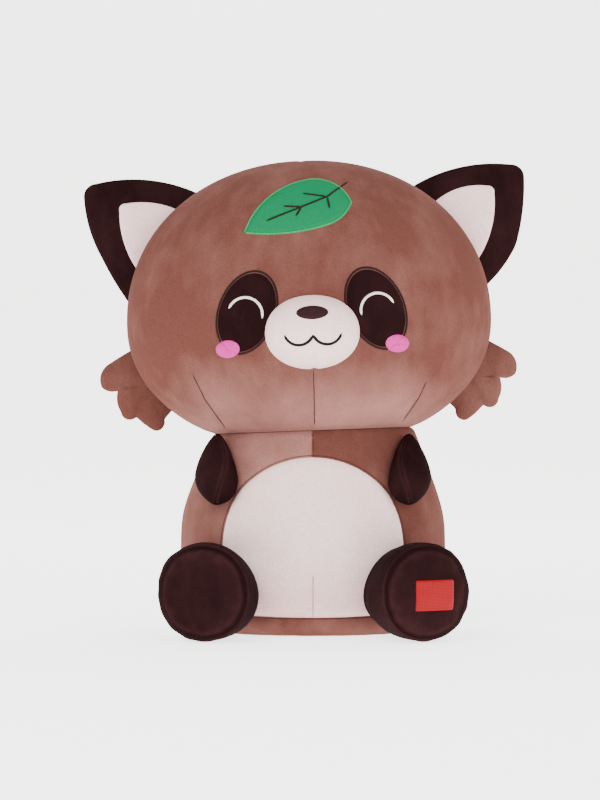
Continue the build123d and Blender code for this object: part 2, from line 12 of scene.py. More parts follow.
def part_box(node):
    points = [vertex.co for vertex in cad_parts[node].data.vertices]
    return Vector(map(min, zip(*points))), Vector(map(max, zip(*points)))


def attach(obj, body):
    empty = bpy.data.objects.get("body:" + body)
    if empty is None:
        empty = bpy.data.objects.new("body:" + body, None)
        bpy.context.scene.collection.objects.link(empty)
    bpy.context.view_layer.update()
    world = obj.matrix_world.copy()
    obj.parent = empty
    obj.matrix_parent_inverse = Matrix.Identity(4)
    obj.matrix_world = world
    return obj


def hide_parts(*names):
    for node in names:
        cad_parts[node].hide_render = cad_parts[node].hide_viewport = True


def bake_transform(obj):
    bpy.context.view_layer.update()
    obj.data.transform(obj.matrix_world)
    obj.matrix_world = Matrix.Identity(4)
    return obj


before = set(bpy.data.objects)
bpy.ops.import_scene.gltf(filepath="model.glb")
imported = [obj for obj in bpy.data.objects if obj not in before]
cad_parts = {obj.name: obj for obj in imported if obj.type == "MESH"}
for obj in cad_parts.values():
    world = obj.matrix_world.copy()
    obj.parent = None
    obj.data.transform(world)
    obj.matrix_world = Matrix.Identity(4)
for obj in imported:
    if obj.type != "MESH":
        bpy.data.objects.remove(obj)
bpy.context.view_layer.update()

# The studio: a sweep of white acrylic lit from behind, large soft lights, and a level camera
# 1.54 m in front of the toy. The shift puts the toy where it stands in the photograph's frame.
CAMERA_BACK = 1.537
CAMERA_HEIGHT = 0.123
PHOTO_WIDTH = 600
PHOTO_HEIGHT = 800
TOY_COLUMN = 313
HORIZON_ROW = 437
FOCAL_PIXELS = 2401.6
SENSOR_MM = 36.0
SWEEP_HALF_WIDTH = 9.0
SWEEP_FRONT = -9.0
SWEEP_BACK = 1.6
SWEEP_RADIUS = 1.2
SWEEP_TOP = 4.0
STUDIO_WHITE = "#F4F3F2"
SWEEP_GLOW = 2.6
SKY_GLOW = 0.9
LIT_HEIGHT = 0.15


def linear(code):
    """An sRGB hex colour as linear light, with full alpha."""
    values = [int(code[place:place + 2], 16) / 255 for place in (1, 3, 5)]
    light = [v / 12.92 if v <= 0.04045 else ((v + 0.055) / 1.055) ** 2.4 for v in values]
    return (*light, 1.0)


def add(tree, kind, inputs=(), **settings):
    """Adds a node with its settings, and links or sets each of its inputs."""
    made = tree.nodes.new("ShaderNode" + kind)
    for name, value in settings.items():
        setattr(made, name, value)
    for name, value in dict(inputs).items():
        if isinstance(value, bpy.types.NodeSocket):
            tree.links.new(value, made.inputs[name])
        else:
            made.inputs[name].default_value = value
    return made


def stand(name, mesh):
    """A smooth-shaded object with a mesh, in the scene."""
    mesh.shade_smooth()
    made = bpy.data.objects.new(name, mesh)
    bpy.context.scene.collection.objects.link(made)
    return made


def make(name, corners, faces):
    """An object from points and faces, with its faces turned outwards."""
    mesh = bpy.data.meshes.new(name)
    mesh.from_pydata([tuple(corner) for corner in corners], [], faces)
    work = bmesh.new()
    work.from_mesh(mesh)
    bmesh.ops.recalc_face_normals(work, faces=work.faces[:])
    work.to_mesh(mesh)
    work.free()
    return stand(name, mesh)


def blank_finish(name):
    """A new material, with its node tree and its shader."""
    material = bpy.data.materials.new(name)
    material.use_nodes = True
    return material, material.node_tree, material.node_tree.nodes["Principled BSDF"]


def set_sockets(shader, values):
    for socket, value in values.items():
        shader.inputs[socket].default_value = value


camera = bpy.data.objects.new("camera", bpy.data.cameras.new("camera"))
camera.location = (0, -CAMERA_BACK, CAMERA_HEIGHT)
camera.rotation_euler = (math.radians(90), 0, 0)
camera.data.sensor_width = SENSOR_MM
camera.data.lens = FOCAL_PIXELS * SENSOR_MM / PHOTO_HEIGHT
camera.data.shift_x = (PHOTO_WIDTH / 2 - TOY_COLUMN) / PHOTO_HEIGHT
camera.data.shift_y = (HORIZON_ROW - PHOTO_HEIGHT / 2) / PHOTO_HEIGHT
bpy.context.scene.collection.objects.link(camera)
bpy.context.scene.camera = camera

sweep_line = [(SWEEP_FRONT, 0.0)]
for turn in range(13):
    angle = math.radians(turn * 7.5)
    back = SWEEP_BACK + SWEEP_RADIUS * math.sin(angle)
    sweep_line.append((back, SWEEP_RADIUS * (1 - math.cos(angle))))
sweep_line.append((SWEEP_BACK + SWEEP_RADIUS, SWEEP_TOP))
sweep_points = []
for back, up in sweep_line:
    sweep_points += [(-SWEEP_HALF_WIDTH, back, up), (SWEEP_HALF_WIDTH, back, up)]
sweep_faces = [(2 * n, 2 * n + 1, 2 * n + 3, 2 * n + 2) for n in range(len(sweep_line) - 1)]
sweep = make("studio_sweep", sweep_points, sweep_faces)
white = linear(STUDIO_WHITE)
acrylic, _, acrylic_shader = blank_finish("matt white acrylic, lit from behind")
set_sockets(acrylic_shader, {"Base Color": white, "Roughness": 0.9})
set_sockets(acrylic_shader, {"Emission Color": white, "Emission Strength": SWEEP_GLOW})
sweep.data.materials.append(acrylic)

for name, place, size, power in (
    ("key_softbox", (-0.9, -1.5, 1.5), 1.3, 38.0),
    ("fill_softbox", (1.3, -1.3, 0.8), 1.3, 20.0),
    ("back_softbox", (0.2, 1.1, 1.9), 1.6, 16.0),
):
    lamp = bpy.data.objects.new(name, bpy.data.lights.new(name, "AREA"))
    lamp.data.shape = "SQUARE"
    lamp.data.size = size
    lamp.data.energy = power
    lamp.location = place
    aim = Vector((0, 0, LIT_HEIGHT)) - lamp.location
    lamp.rotation_euler = aim.to_track_quat("-Z", "Y").to_euler()
    bpy.context.scene.collection.objects.link(lamp)
world = bpy.data.worlds.new("studio")
world.use_nodes = True
set_sockets(world.node_tree.nodes["Background"], {"Color": white, "Strength": SKY_GLOW})
bpy.context.scene.world = world

# Head: short-pile polyester plush, dyed cocoa brown, a front panel and two backs sewn inside out
# along a side seam over the crown and a centre back seam, turned, and packed hard with fibre.
# The nap lies darker and brushes up paler, so the cloth is blotched where hands have stroked it.
HEAD_HALF_WIDTH = 0.117
HEAD_HALF_DEPTH = 0.084
HEAD_RISE = 0.103
HEAD_DROP = 0.082
HEAD_LEVEL = 0.070
HEAD_ROUNDNESS = 2.1
NECK_HEIGHT = 0.127
SIDE_SEAM_BACK = 0.008
PANEL_SWELL = 0.0004
PANEL_SWELL_MOST = 0.0018
HEAD_ROWS = 40
HEAD_COLUMNS = 96
CLOTH_STEPS = 20
PUCKERS_PER_M = 130
PANEL_LIP = 0.003
HEAD_POSE = (
    Matrix.Translation((0, 0, NECK_HEIGHT))
    @ Matrix.Rotation(math.radians(-2.0), 4, "Y")
    @ Matrix.Rotation(math.radians(1.2), 4, "Z")
)
HEAD_DARTS = (
    ((-0.0739, 0.0368), (-0.067, 0.021), (-0.0554, 0.0034)),
    ((0.0702, 0.0280), (0.0655, 0.0180), (0.0554, 0.0034)),
)
CROWN_DART = ((-0.001, 0.161), (-0.0015, 0.166), (-0.002, 0.1715))
BLOTCH_MM = 42
STREAK_MM = 8
PILE_MM = 0.9
MAIN_SEAM = (0.0012, 0.0022, 0.0005)
FINE_SEAM = (0.0008, 0.0016, 0.0004)
NECK_SEAM = (0.0006, 0.0016, 0.0005)


def two_tone(tree, shader, pattern, shade, colour, strength=1.0, relief=0.0):
    """Dyes a finish between two tones by a pattern, which may stand in slight relief."""
    tones = {"Factor": pattern, "A": linear(shade), "B": linear(colour)}
    dye = add(tree, "Mix", tones, data_type="RGBA")
    tree.links.new(dye.outputs["Result"], shader.inputs["Base Color"])
    if relief:
        raised = {"Height": pattern, "Strength": strength, "Distance": relief}
        bump = add(tree, "Bump", raised)
        tree.links.new(bump.outputs[0], shader.inputs["Normal"])


def short_pile_plush(tone, lying, brushed, sheen):
    """Knitted polyester plush, its pile cropped to a millimetre: no gloss, soft bright edges."""
    material, tree, shader = blank_finish("short-pile polyester plush, " + tone)
    place = add(tree, "TexCoord").outputs["Object"]
    # The nap attribute holds brushed nap and, on some pieces, painted highlight and painted shade.
    nap = add(tree, "Attribute", attribute_name="nap").outputs["Fac"]
    slant = add(tree, "Mapping", {"Vector": place, "Scale": (1.0, 1.0, 0.35)}).outputs[0]
    marks = []
    for at, across, detail in ((place, BLOTCH_MM, 2), (slant, STREAK_MM, 3), (place, PILE_MM, 2)):
        mark = {"Vector": at, "Scale": 1000 / across, "Detail": detail}
        marks.append(add(tree, "TexNoise", mark).outputs[0])
    blotch, streak, pile = marks
    broad = add(tree, "Math", {0: blotch, 1: 0.7, 2: -0.35}, operation="MULTIPLY_ADD")
    fine = add(tree, "Math", {0: streak, 1: 0.28, 2: -0.14}, operation="MULTIPLY_ADD")
    both = add(tree, "Math", {0: broad.outputs[0], 1: fine.outputs[0]})
    lay = add(tree, "Math", {0: both.outputs[0], 1: nap}, use_clamp=True)
    tones = {"Factor": lay.outputs[0], "A": linear(lying), "B": linear(brushed)}
    dye = add(tree, "Mix", tones, data_type="RGBA")
    shade = add(tree, "MapRange", {0: pile, 1: 0.3, 2: 0.7, 3: 0.86, 4: 1.08})
    shaded = {"Factor": 1.0, "A": dye.outputs["Result"], "B": shade.outputs[0]}
    tips = add(tree, "Mix", shaded, data_type="RGBA", blend_type="MULTIPLY")
    tree.links.new(tips.outputs["Result"], shader.inputs["Base Color"])
    bump = add(tree, "Bump", {"Height": pile, "Strength": 0.3, "Distance": 0.0004})
    lines = {"Height": streak, "Normal": bump.outputs[0], "Strength": 0.25, "Distance": 0.0012}
    tree.links.new(add(tree, "Bump", lines).outputs[0], shader.inputs["Normal"])
    set_sockets(shader, {"Roughness": 0.92, "Specular IOR Level": 0.02, "Sheen Weight": sheen})
    set_sockets(shader, {"Sheen Roughness": 0.45, "Sheen Tint": linear(brushed)})
    return material


def fibre_filling():
    """Carded polyester fibre: white, matt and cottony, with soft tufts a few millimetres across."""
    material, tree, shader = blank_finish("polyester fibre filling")
    place = add(tree, "TexCoord").outputs["Object"]
    tuft = add(tree, "TexNoise", {"Vector": place, "Scale": 1 / 0.006, "Detail": 6.0})
    two_tone(tree, shader, tuft.outputs[0], "#D9D8D4", "#FBFAF7", 1.0, 0.003)
    set_sockets(shader, {"Roughness": 1.0})
    return material


def points(piece):
    """A piece's points as an array."""
    flat = np.empty(len(piece.data.vertices) * 3)
    piece.data.vertices.foreach_get("co", flat)
    return flat.reshape(-1, 3)


def set_points(piece, places):
    piece.data.vertices.foreach_set("co", np.ascontiguousarray(places).ravel())
    piece.data.update()


def outward(piece):
    """The way out of a piece's surface at each of its points."""
    flat = np.empty(len(piece.data.vertices) * 3)
    piece.data.vertex_normals.foreach_get("vector", flat)
    return flat.reshape(-1, 3)


def smooth_step(value, start, end):
    """From 0 at start to 1 at end, with soft ends."""
    share = np.clip((value - start) / (end - start), 0, 1)
    return share * share * (3 - 2 * share)


def settle(piece):
    """Applies every modifier of a piece to its mesh."""
    view = bpy.context.evaluated_depsgraph_get()
    mesh = bpy.data.meshes.new_from_object(piece.evaluated_get(view))
    piece.modifiers.clear()
    piece.data = mesh
    mesh.shade_smooth()


def closed_form(name, rings):
    """A closed mesh through rings of points, with a point in the middle of each end."""
    count = len(rings[0])
    ends = [np.mean(rings[0], 0, keepdims=True), np.mean(rings[-1], 0, keepdims=True)]
    corners = np.concatenate([ends[0], *rings, ends[1]])
    top = 1 + (len(rings) - 1) * count
    faces = []
    for side in range(count):
        beside = (side + 1) % count
        faces.append((0, 1 + beside, 1 + side))
        for row in range(len(rings) - 1):
            low = 1 + row * count
            faces.append((low + side, low + beside, low + count + beside, low + count + side))
        faces.append((top + side, top + beside, len(corners) - 1))
    return make(name, corners, faces)


def oval(half_width, half_depth, count):
    """Points round a level oval, a trace squarer than an ellipse, as stuffed cloth is."""
    turns = np.linspace(0, math.tau, count, endpoint=False)
    across, along = np.cos(turns), np.sin(turns)
    power = 2 / 2.1
    x = half_width * np.sign(across) * np.abs(across) ** power
    y = half_depth * np.sign(along) * np.abs(along) ** power
    return np.stack([x, y, np.zeros(count)], axis=1)


def stuff(piece, held, most, pressure=4.0):
    """Swells a sewn form with its filling: cloth under pressure, held along its seams."""
    rest = points(piece)
    seams = piece.vertex_groups.new(name="seams")
    for number in np.flatnonzero(held > 0.02):
        seams.add([int(number)], float(held[number]), "REPLACE")
    cloth = piece.modifiers.new("filling", "CLOTH")
    cloth.settings.use_pressure = True
    cloth.settings.uniform_pressure_force = pressure
    cloth.settings.effector_weights.gravity = 0
    cloth.settings.vertex_group_mass = "seams"
    cloth.point_cache.frame_start = 1
    cloth.point_cache.frame_end = CLOTH_STEPS
    for step in range(1, CLOTH_STEPS + 1):
        bpy.context.scene.frame_set(step)
    settle(piece)
    moved = points(piece) - rest
    far = np.linalg.norm(moved, axis=1)[:, None]
    set_points(piece, rest + moved * np.minimum(1, most / np.maximum(far, 1e-9)))
    bpy.context.scene.frame_set(1)


def refine(piece, levels):
    """Subdivides a piece smoothly."""
    finer = piece.modifiers.new("finer", "SUBSURF")
    finer.levels = levels
    finer.render_levels = levels
    settle(piece)


def off_middle(piece):
    """How far to the side, behind the side seam and up each point of a piece is."""
    places = points(piece)
    return np.abs(places[:, 0]), places[:, 1] - SIDE_SEAM_BACK, places[:, 2]


def away_from_line(places, line):
    """How far flat points lie from a line of straight runs."""
    nearest = np.full(len(places), 1.0)
    for start, end in zip(line[:-1], line[1:]):
        run = np.subtract(end, start)
        share = np.clip((places - start) @ run / (run @ run), 0, 1)
        gap = np.linalg.norm(places - (start + share[:, None] * run), axis=1)
        nearest = np.minimum(nearest, gap)
    return nearest


def draw_in(piece, away, depth, width, pucker=0.0):
    """Pulls a form in along a seam by a depth, with puckers beside it where the thread is tight."""
    places = points(piece)
    valley = np.exp(-((away / width) ** 2))
    move = valley * depth
    if pucker:
        ripple = np.array([noise.noise(Vector(place) * PUCKERS_PER_M) for place in places])
        near = np.exp(-((away / (width * 3.5)) ** 2)) * smooth_step(away, 0, width * 1.5)
        move = move + near * pucker * ripple
    set_points(piece, places - outward(piece) * move[:, None])


def panel(whole, name, cuts):
    """The part of a sewn form past each cut, as its own panel with its edge turned in."""
    work = bmesh.new()
    work.from_mesh(whole.data)
    for point, way in cuts:
        parts = work.verts[:] + work.edges[:] + work.faces[:]
        bmesh.ops.bisect_plane(work, geom=parts, plane_co=point, plane_no=way, clear_inner=True)
    work.normal_update()
    rim = [edge for edge in work.edges if edge.is_boundary]
    ways = {corner: corner.normal.copy() for edge in rim for corner in edge.verts}
    turned = bmesh.ops.extrude_edge_only(work, edges=rim)["geom"]
    for corner in [part for part in turned if isinstance(part, bmesh.types.BMVert)]:
        root = next(e.other_vert(corner) for e in corner.link_edges if e.other_vert(corner) in ways)
        corner.co = root.co - ways[root] * PANEL_LIP
    mesh = bpy.data.meshes.new(name)
    work.to_mesh(mesh)
    work.free()
    return stand(name, mesh)


def set_nap_and_painted_light(piece, nap):
    """Sets a piece's nap, from 0 lying to 1 standing, plus any painted highlight and shade."""
    values = np.broadcast_to(np.asarray(nap, dtype=np.float32), (len(piece.data.vertices),))
    lay = piece.data.attributes.new("nap", "FLOAT", "POINT")
    lay.data.foreach_set("value", np.ascontiguousarray(values))


def fit(piece, finish, node=None, body=None):
    """Finishes a piece, hangs it on its body, and hides the node it stands for."""
    piece.data.materials.append(finish)
    if body:
        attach(piece, body)
    if node:
        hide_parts(node)


def filling(piece, node, middle=None, shares=(0.92, 0.55, 0.92), depth=0.0035):
    """The fibre in a form: less deep all round or, in a flat form, drawn to its middle."""
    inside = piece.copy()
    inside.data = piece.data.copy()
    inside.name = inside.data.name = node.rsplit("_", 1)[0] + "_fibre"
    bpy.context.scene.collection.objects.link(inside)
    if middle is None:
        set_points(inside, points(inside) - outward(inside) * depth)
    else:
        set_points(inside, np.array(middle) + (points(inside) - np.array(middle)) * shares)
    inside.data.materials.clear()
    fit(inside, fibre, node)
    return inside


def sew_panels(whole, panels, nap, pose):
    """Cuts a stuffed form into its cocoa panels, each with its own nap, and sews them in place."""
    made = {}
    for name, cuts in panels.items():
        cloth = made[name] = panel(whole, name + "_cloth", cuts)
        set_nap_and_painted_light(cloth, nap(name, points(cloth)))
        cloth.data.transform(pose)
        fit(cloth, cocoa_plush, name + "_panel", "body")
    bpy.data.objects.remove(whole)
    return made


def head_ring(latitude):
    power = 2 / HEAD_ROUNDNESS
    share = math.cos(latitude) ** power
    reach = HEAD_RISE - PANEL_SWELL if latitude > 0 else -HEAD_DROP
    height = HEAD_LEVEL + reach * abs(math.sin(latitude)) ** power
    half_width, half_depth = HEAD_HALF_WIDTH - PANEL_SWELL, HEAD_HALF_DEPTH - PANEL_SWELL
    return oval(share * half_width, share * half_depth, HEAD_COLUMNS) + (0, 0, height)


def head_paleness(_, place):
    """Paler under the chin, a little more on the right of the chin's seam."""
    aside, up = np.abs(place[:, 0]), place[:, 2]
    low = (1 - smooth_step(up, 0.004, 0.054)) * (1 - smooth_step(aside, 0.05, 0.1))
    side = np.where((up < 0.04) & (aside < 0.06), np.sign(place[:, 0]), 0)
    return 0.05 + 0.67 * low + 0.08 * side * low


cocoa_plush = short_pile_plush("cocoa", "#5B362F", "#976A62", 0.15)
fibre = fibre_filling()
neck_latitude = -math.asin((HEAD_LEVEL / HEAD_DROP) ** (HEAD_ROUNDNESS / 2))
latitudes = np.linspace(neck_latitude, math.radians(88), HEAD_ROWS)
latitudes = np.insert(latitudes, 1, neck_latitude + math.radians(0.6))
head_rings = [head_ring(latitude) for latitude in latitudes]
for share in (0.99, 0.93, 0.6, 0.25):
    head_rings.insert(0, head_rings[0] * (share, share, 1) - (0, 0, 0.0004))
head = closed_form("head_form", head_rings)
aside, back, up = off_middle(head)
off_seam = np.minimum(np.abs(back), np.abs(up))
off_seam = np.minimum(off_seam, np.where(back > 0, aside, 1.0))
stuff(head, 1 - smooth_step(off_seam, 0.002, 0.012), PANEL_SWELL_MOST)
refine(head, 2)

aside, back, up = off_middle(head)
front, flat = back < 0, points(head)[:, [0, 2]]
off_neck = 0.01 * (1 - smooth_step(np.abs(up), 0.001, 0.007))
draw_in(head, np.abs(back) + off_neck, *MAIN_SEAM)
off_crown = 0.01 * smooth_step(up, 0.150, 0.168)
draw_in(head, np.where(front, 1.0, aside) + off_neck + off_crown, *MAIN_SEAM)
draw_in(head, np.where(front & (up < 0.04), aside, 1.0) + off_neck, *FINE_SEAM)
for line, depth in ((HEAD_DARTS[0], 0.0013), (HEAD_DARTS[1], 0.0013), (CROWN_DART, 0.0004)):
    away = np.where(front, away_from_line(flat, line), 1.0) + off_neck
    draw_in(head, away, depth, 0.0018, depth * 0.3)
draw_in(head, np.abs(up), *NECK_SEAM)

head_fill = filling(head, "head_stuffing")
head_fill.data.transform(HEAD_POSE)
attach(head_fill, "body")
back_of_seam = ((0, SIDE_SEAM_BACK, 0), (0, 1, 0))
head_panels = {
    "head_front": [((0, SIDE_SEAM_BACK, 0), (0, -1, 0))],
    "head_back_left": [back_of_seam, ((0, 0, 0), (-1, 0, 0))],
    "head_back_right": [back_of_seam, ((0, 0, 0), (1, 0, 0))],
}
head_cloth = sew_panels(head, head_panels, head_paleness, HEAD_POSE)

# Seam threads of the head: spun polyester, a tone darker than the plush, lying deep in each
# valley. They show as the fine dark lines under the muzzle and by the jaw.
SEAM_THREAD_WIDTH = 0.0007
SEAM_THREAD_RISE = 0.00025
BAND_STEP = 0.0009
SPUN_THREAD = "spun polyester thread, "


def surface(pose, *pieces):
    """The skin of some pieces, to lay others on, with the pose of its front view."""
    corners, faces = [], []
    for piece in pieces:
        first = len(corners)
        corners += [vertex.co.copy() for vertex in piece.data.vertices]
        faces += [[first + number for number in face.vertices] for face in piece.data.polygons]
    return BVHTree.FromPolygons(corners, faces), pose


def on_front(skin, out, up):
    """Where a place in the front view lands on a skin, and the way out of it there."""
    tree, pose = skin
    start, ahead = pose @ Vector((out, -0.3, up)), pose.to_3x3() @ Vector((0, 1, 0))
    place, way, _, _ = tree.ray_cast(start, ahead)
    if place is None:
        place, way, _, _ = tree.find_nearest(pose @ Vector((out, -0.06, up)))
    return place, way


def arc(start, middle, end, count):
    """Points along the arc through three points, without its end."""
    first, second, third = [complex(*place) for place in (start, middle, end)]
    lean = (third - first) / (second - first)
    centre = first + (second - first) * (lean - abs(lean) ** 2) / (lean - lean.conjugate())
    reach = first - centre
    whole, part = [cmath.phase((spot - centre) / reach) % math.tau for spot in (third, second)]
    if part > whole:
        whole -= math.tau
    made = [centre + reach * cmath.rect(1, whole * step / count) for step in range(count)]
    return [(spot.real, spot.imag) for spot in made]


def rim_of_arcs(corners, count):
    """A closed rim in arcs, from each even point through the next to the one after."""
    rim = []
    for number in range(0, len(corners), 2):
        end = corners[(number + 2) % len(corners)]
        rim += arc(corners[number], corners[number + 1], end, count)
    return rim


def even_steps(line, gap):
    """A flat line again, with its points about a gap apart."""
    line = np.array(line, float)
    lengths = np.linalg.norm(np.diff(line, axis=0), axis=1)
    along = np.concatenate([[0], np.cumsum(lengths)])
    steps = np.linspace(0, along[-1], max(2, round(along[-1] / gap) + 1))
    return np.stack([np.interp(steps, along, line[:, axis]) for axis in (0, 1)], axis=1)


def chart_stitches(piece, uses):
    """Gives a piece the flat map that its threads run by."""
    chart = piece.data.uv_layers.new(name="stitches")
    for loop in piece.data.loops:
        chart.data[loop.index].uv = uses[loop.vertex_index]
    return piece


def stitched_band(name, skin, line, width, rise, closed=False, sink=0.0003):
    """A band of stitches along a flat line, laid on a skin, with a rounded back."""
    steps = even_steps([*line, line[0]] if closed else line, BAND_STEP)
    if closed:
        steps = steps[:-1]
    landed = [on_front(skin, out, up) for out, up in steps]
    centres = [place for place, _ in landed]
    corners, faces, uses = [], [], []
    across, total = 7, len(steps)
    for number, (place, way) in enumerate(landed):
        before, after = number - 1, (number + 1) % total
        if not closed:
            before, after = max(before, 0), min(number + 1, total - 1)
        aside = way.cross(centres[after] - centres[before]).normalized()
        taper = 1.0
        if not closed:
            taper = min(1.0, 0.35 + 0.65 * min(number, total - 1 - number) / 2)
        for column in range(across):
            share = 2 * column / (across - 1) - 1
            crown = math.sqrt(max(0.0, 1 - share * share))
            out, up = share * width / 2 * taper, rise * crown * taper - sink
            corners.append(place + aside * out + way * up)
            uses.append((number * 1000 * BAND_STEP, share))
    rows = total if closed else total - 1
    for row in range(rows):
        after = (row + 1) % total
        for column in range(across - 1):
            near, far = row * across + column, after * across + column
            faces.append((near, near + 1, far + 1, far))
    return chart_stitches(make(name, corners, faces), uses)


def satin_thread(tone, colour, shade, slant=0.0, kind="satin-stitched rayon, "):
    """Embroidery rayon in satin stitch: silky threads side by side, with a soft gloss."""
    material, tree, shader = blank_finish(kind + tone)
    chart = add(tree, "TexCoord").outputs["UV"]
    turn = {"Vector": chart, "Rotation": (0, 0, math.radians(slant))}
    turned = add(tree, "Mapping", turn).outputs[0]
    wave = {"Vector": turned, "Scale": 0.34, "Distortion": 0.6, "Detail": 2.0}
    threads = add(tree, "TexWave", wave).outputs["Fac"]
    two_tone(tree, shader, threads, shade, colour, 0.7, 0.0003)
    set_sockets(shader, {"Roughness": 0.6, "Specular IOR Level": 0.08})
    return material


def seam_thread(name, skin, line, finish, width=SEAM_THREAD_WIDTH, closed=False):
    """The thread of one seam on the body, lying in its valley."""
    thread = stitched_band(name, skin, line, width, SEAM_THREAD_RISE, closed=closed, sink=0)
    fit(thread, finish, body="body")


cocoa_thread = satin_thread("cocoa", "#4A2820", "#341B16", kind=SPUN_THREAD)
head_skin = surface(HEAD_POSE, *head_cloth.values())
for name, line in (
    ("head_centre_seam_thread", ((0, 0.0365), (0, 0.0035))),
    ("head_left_dart_thread", HEAD_DARTS[0]),
    ("head_right_dart_thread", HEAD_DARTS[1]),
):
    seam_thread(name, head_skin, line, cocoa_thread)

# Muzzle: a dome of white plush with a dart under the chin, packed with fibre and sewn to the face
# round its rim. The nose and the smile are satin stitch, worked before the dome was filled.
MUZZLE_HALF_WIDTH = 0.0296
MUZZLE_HALF_HEIGHT = 0.023
MUZZLE_HEIGHT = 0.060
MUZZLE_FRONT = 0.099
MUZZLE_BACK = 0.073
MUZZLE_ROUNDNESS = 2.4
MUZZLE_ROWS = 14
MUZZLE_COLUMNS = 56
NOSE_HALF_WIDTH = 0.0105
NOSE_HALF_HEIGHT = 0.0046
NOSE_HEIGHT = 0.0707
MOUTH_END = (0.0172, 0.0578)
MOUTH_LOBE = (0.0093, 0.0513)
MOUTH_PEAK = (0, 0.0572)
MOUTH_STROKE = 0.0021
MUZZLE_SEAM = (0.0009, 0.0016, 0.0002)
RIM_POINTS = 72


def ellipse_rim(out, up, half_width, half_height, lean=0.0):
    """Points round an upright ellipse whose top leans towards -X by some degrees."""
    rim = []
    for step in range(RIM_POINTS):
        angle = math.tau * step / RIM_POINTS
        spot = complex(half_width * math.cos(angle), half_height * math.sin(angle))
        spot *= cmath.rect(1, math.radians(lean))
        rim.append((out + spot.real, up + spot.imag))
    return rim


def laid_patch(name, skin, rim, rise, edge, sink=0.0004, rows=14):
    """A patch of cloth or stitching inside a rim, laid on a skin with its edge drawn in."""
    rim = np.array(rim)
    centre = rim.mean(axis=0)
    corners, faces, uses = [], [], []
    for row in range(rows + 1):
        share = math.sin(math.pi / 2 * row / rows)
        for out, up in (centre + (rim - centre) * share if row else [centre]):
            place, way = on_front(skin, out, up)
            height = rise * (1 - share ** edge) - sink * share ** edge
            corners.append(place + way * height)
            uses.append((out * 1000, up * 1000))
    count = len(rim)
    for side in range(count):
        beside = (side + 1) % count
        faces.append((0, 1 + side, 1 + beside))
        for row in range(rows - 1):
            low = 1 + row * count
            faces.append((low + side, low + count + side, low + count + beside, low + beside))
    return chart_stitches(make(name, corners, faces), uses)


white_plush = short_pile_plush("white", "#DCB4B2", "#F8DEDA", 0.1)
muzzle_rings = []
for number in range(MUZZLE_ROWS):
    latitude = math.radians(88) * number / (MUZZLE_ROWS - 1)
    share = math.cos(latitude) ** (2 / MUZZLE_ROUNDNESS)
    forward = (MUZZLE_FRONT - MUZZLE_BACK) * math.sin(latitude) ** (2 / MUZZLE_ROUNDNESS)
    ring = oval(share * MUZZLE_HALF_WIDTH, share * MUZZLE_HALF_HEIGHT, MUZZLE_COLUMNS)[:, [0, 2, 1]]
    muzzle_rings.append(ring + (0, -MUZZLE_BACK - forward, MUZZLE_HEIGHT))
muzzle = closed_form("muzzle_cloth", muzzle_rings)
off_face = -points(muzzle)[:, 1] - MUZZLE_BACK
stuff(muzzle, 1 - smooth_step(off_face, 0.002, 0.010), 0.0008, 2.0)
refine(muzzle, 2)
dart = away_from_line(points(muzzle)[:, [0, 2]], ((0.0003, 0.034), (0.0003, 0.046)))
draw_in(muzzle, dart, *MUZZLE_SEAM)
set_nap_and_painted_light(muzzle, 0.55)
muzzle_fill = filling(muzzle, "muzzle_stuffing", depth=0.0025)
for piece in (muzzle, muzzle_fill):
    piece.data.transform(HEAD_POSE)
    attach(piece, "body")
fit(muzzle, white_plush, "muzzle_cover")

nose_thread = satin_thread("chestnut", "#30181A", "#1C0B0B", 90)
muzzle_skin = surface(HEAD_POSE, muzzle)
nose_rim = ellipse_rim(0, NOSE_HEIGHT, NOSE_HALF_WIDTH, NOSE_HALF_HEIGHT)
nose = laid_patch("nose_satin", muzzle_skin, nose_rim, 0.0011, 4)
fit(nose, nose_thread, "nose_embroidery", "body")

mouth_thread = satin_thread("ink", "#16131B", "#0B0A0F")
SIDES = (("left", -1), ("right", 1))
for side, sign in SIDES:
    end, lobe = [(sign * out, up) for out, up in (MOUTH_END, MOUTH_LOBE)]
    line = [*arc(end, lobe, MOUTH_PEAK, 24), MOUTH_PEAK]
    smile = stitched_band(side + "_mouth_satin", muzzle_skin, line, MOUTH_STROKE, 0.0010)
    fit(smile, mouth_thread, "mouth_embroidery", "body")

# Eyes: ovals of dark plush let into the face, edged with close dark satin stitch. A white satin
# arc makes each shut, smiling eye, and a pink satin oval is the blush on the cheek.
EYE_OUT = 0.0393
EYE_HEIGHT = 0.0730
EYE_HALF_LENGTH = 0.0267
EYE_HALF_WIDTH = 0.0181
EYE_LEAN = 22.0
EYE_EDGE = 0.0016
EYE_LINE = ((0.0302, 0.0690), (0.0407, 0.0821), (0.0501, 0.0758))
EYE_LINE_STROKE = 0.0018
BLUSH_OUT = 0.05175
BLUSH_HEIGHT = 0.0512
BLUSH_HALF_WIDTH = 0.0078
BLUSH_HALF_HEIGHT = 0.0057

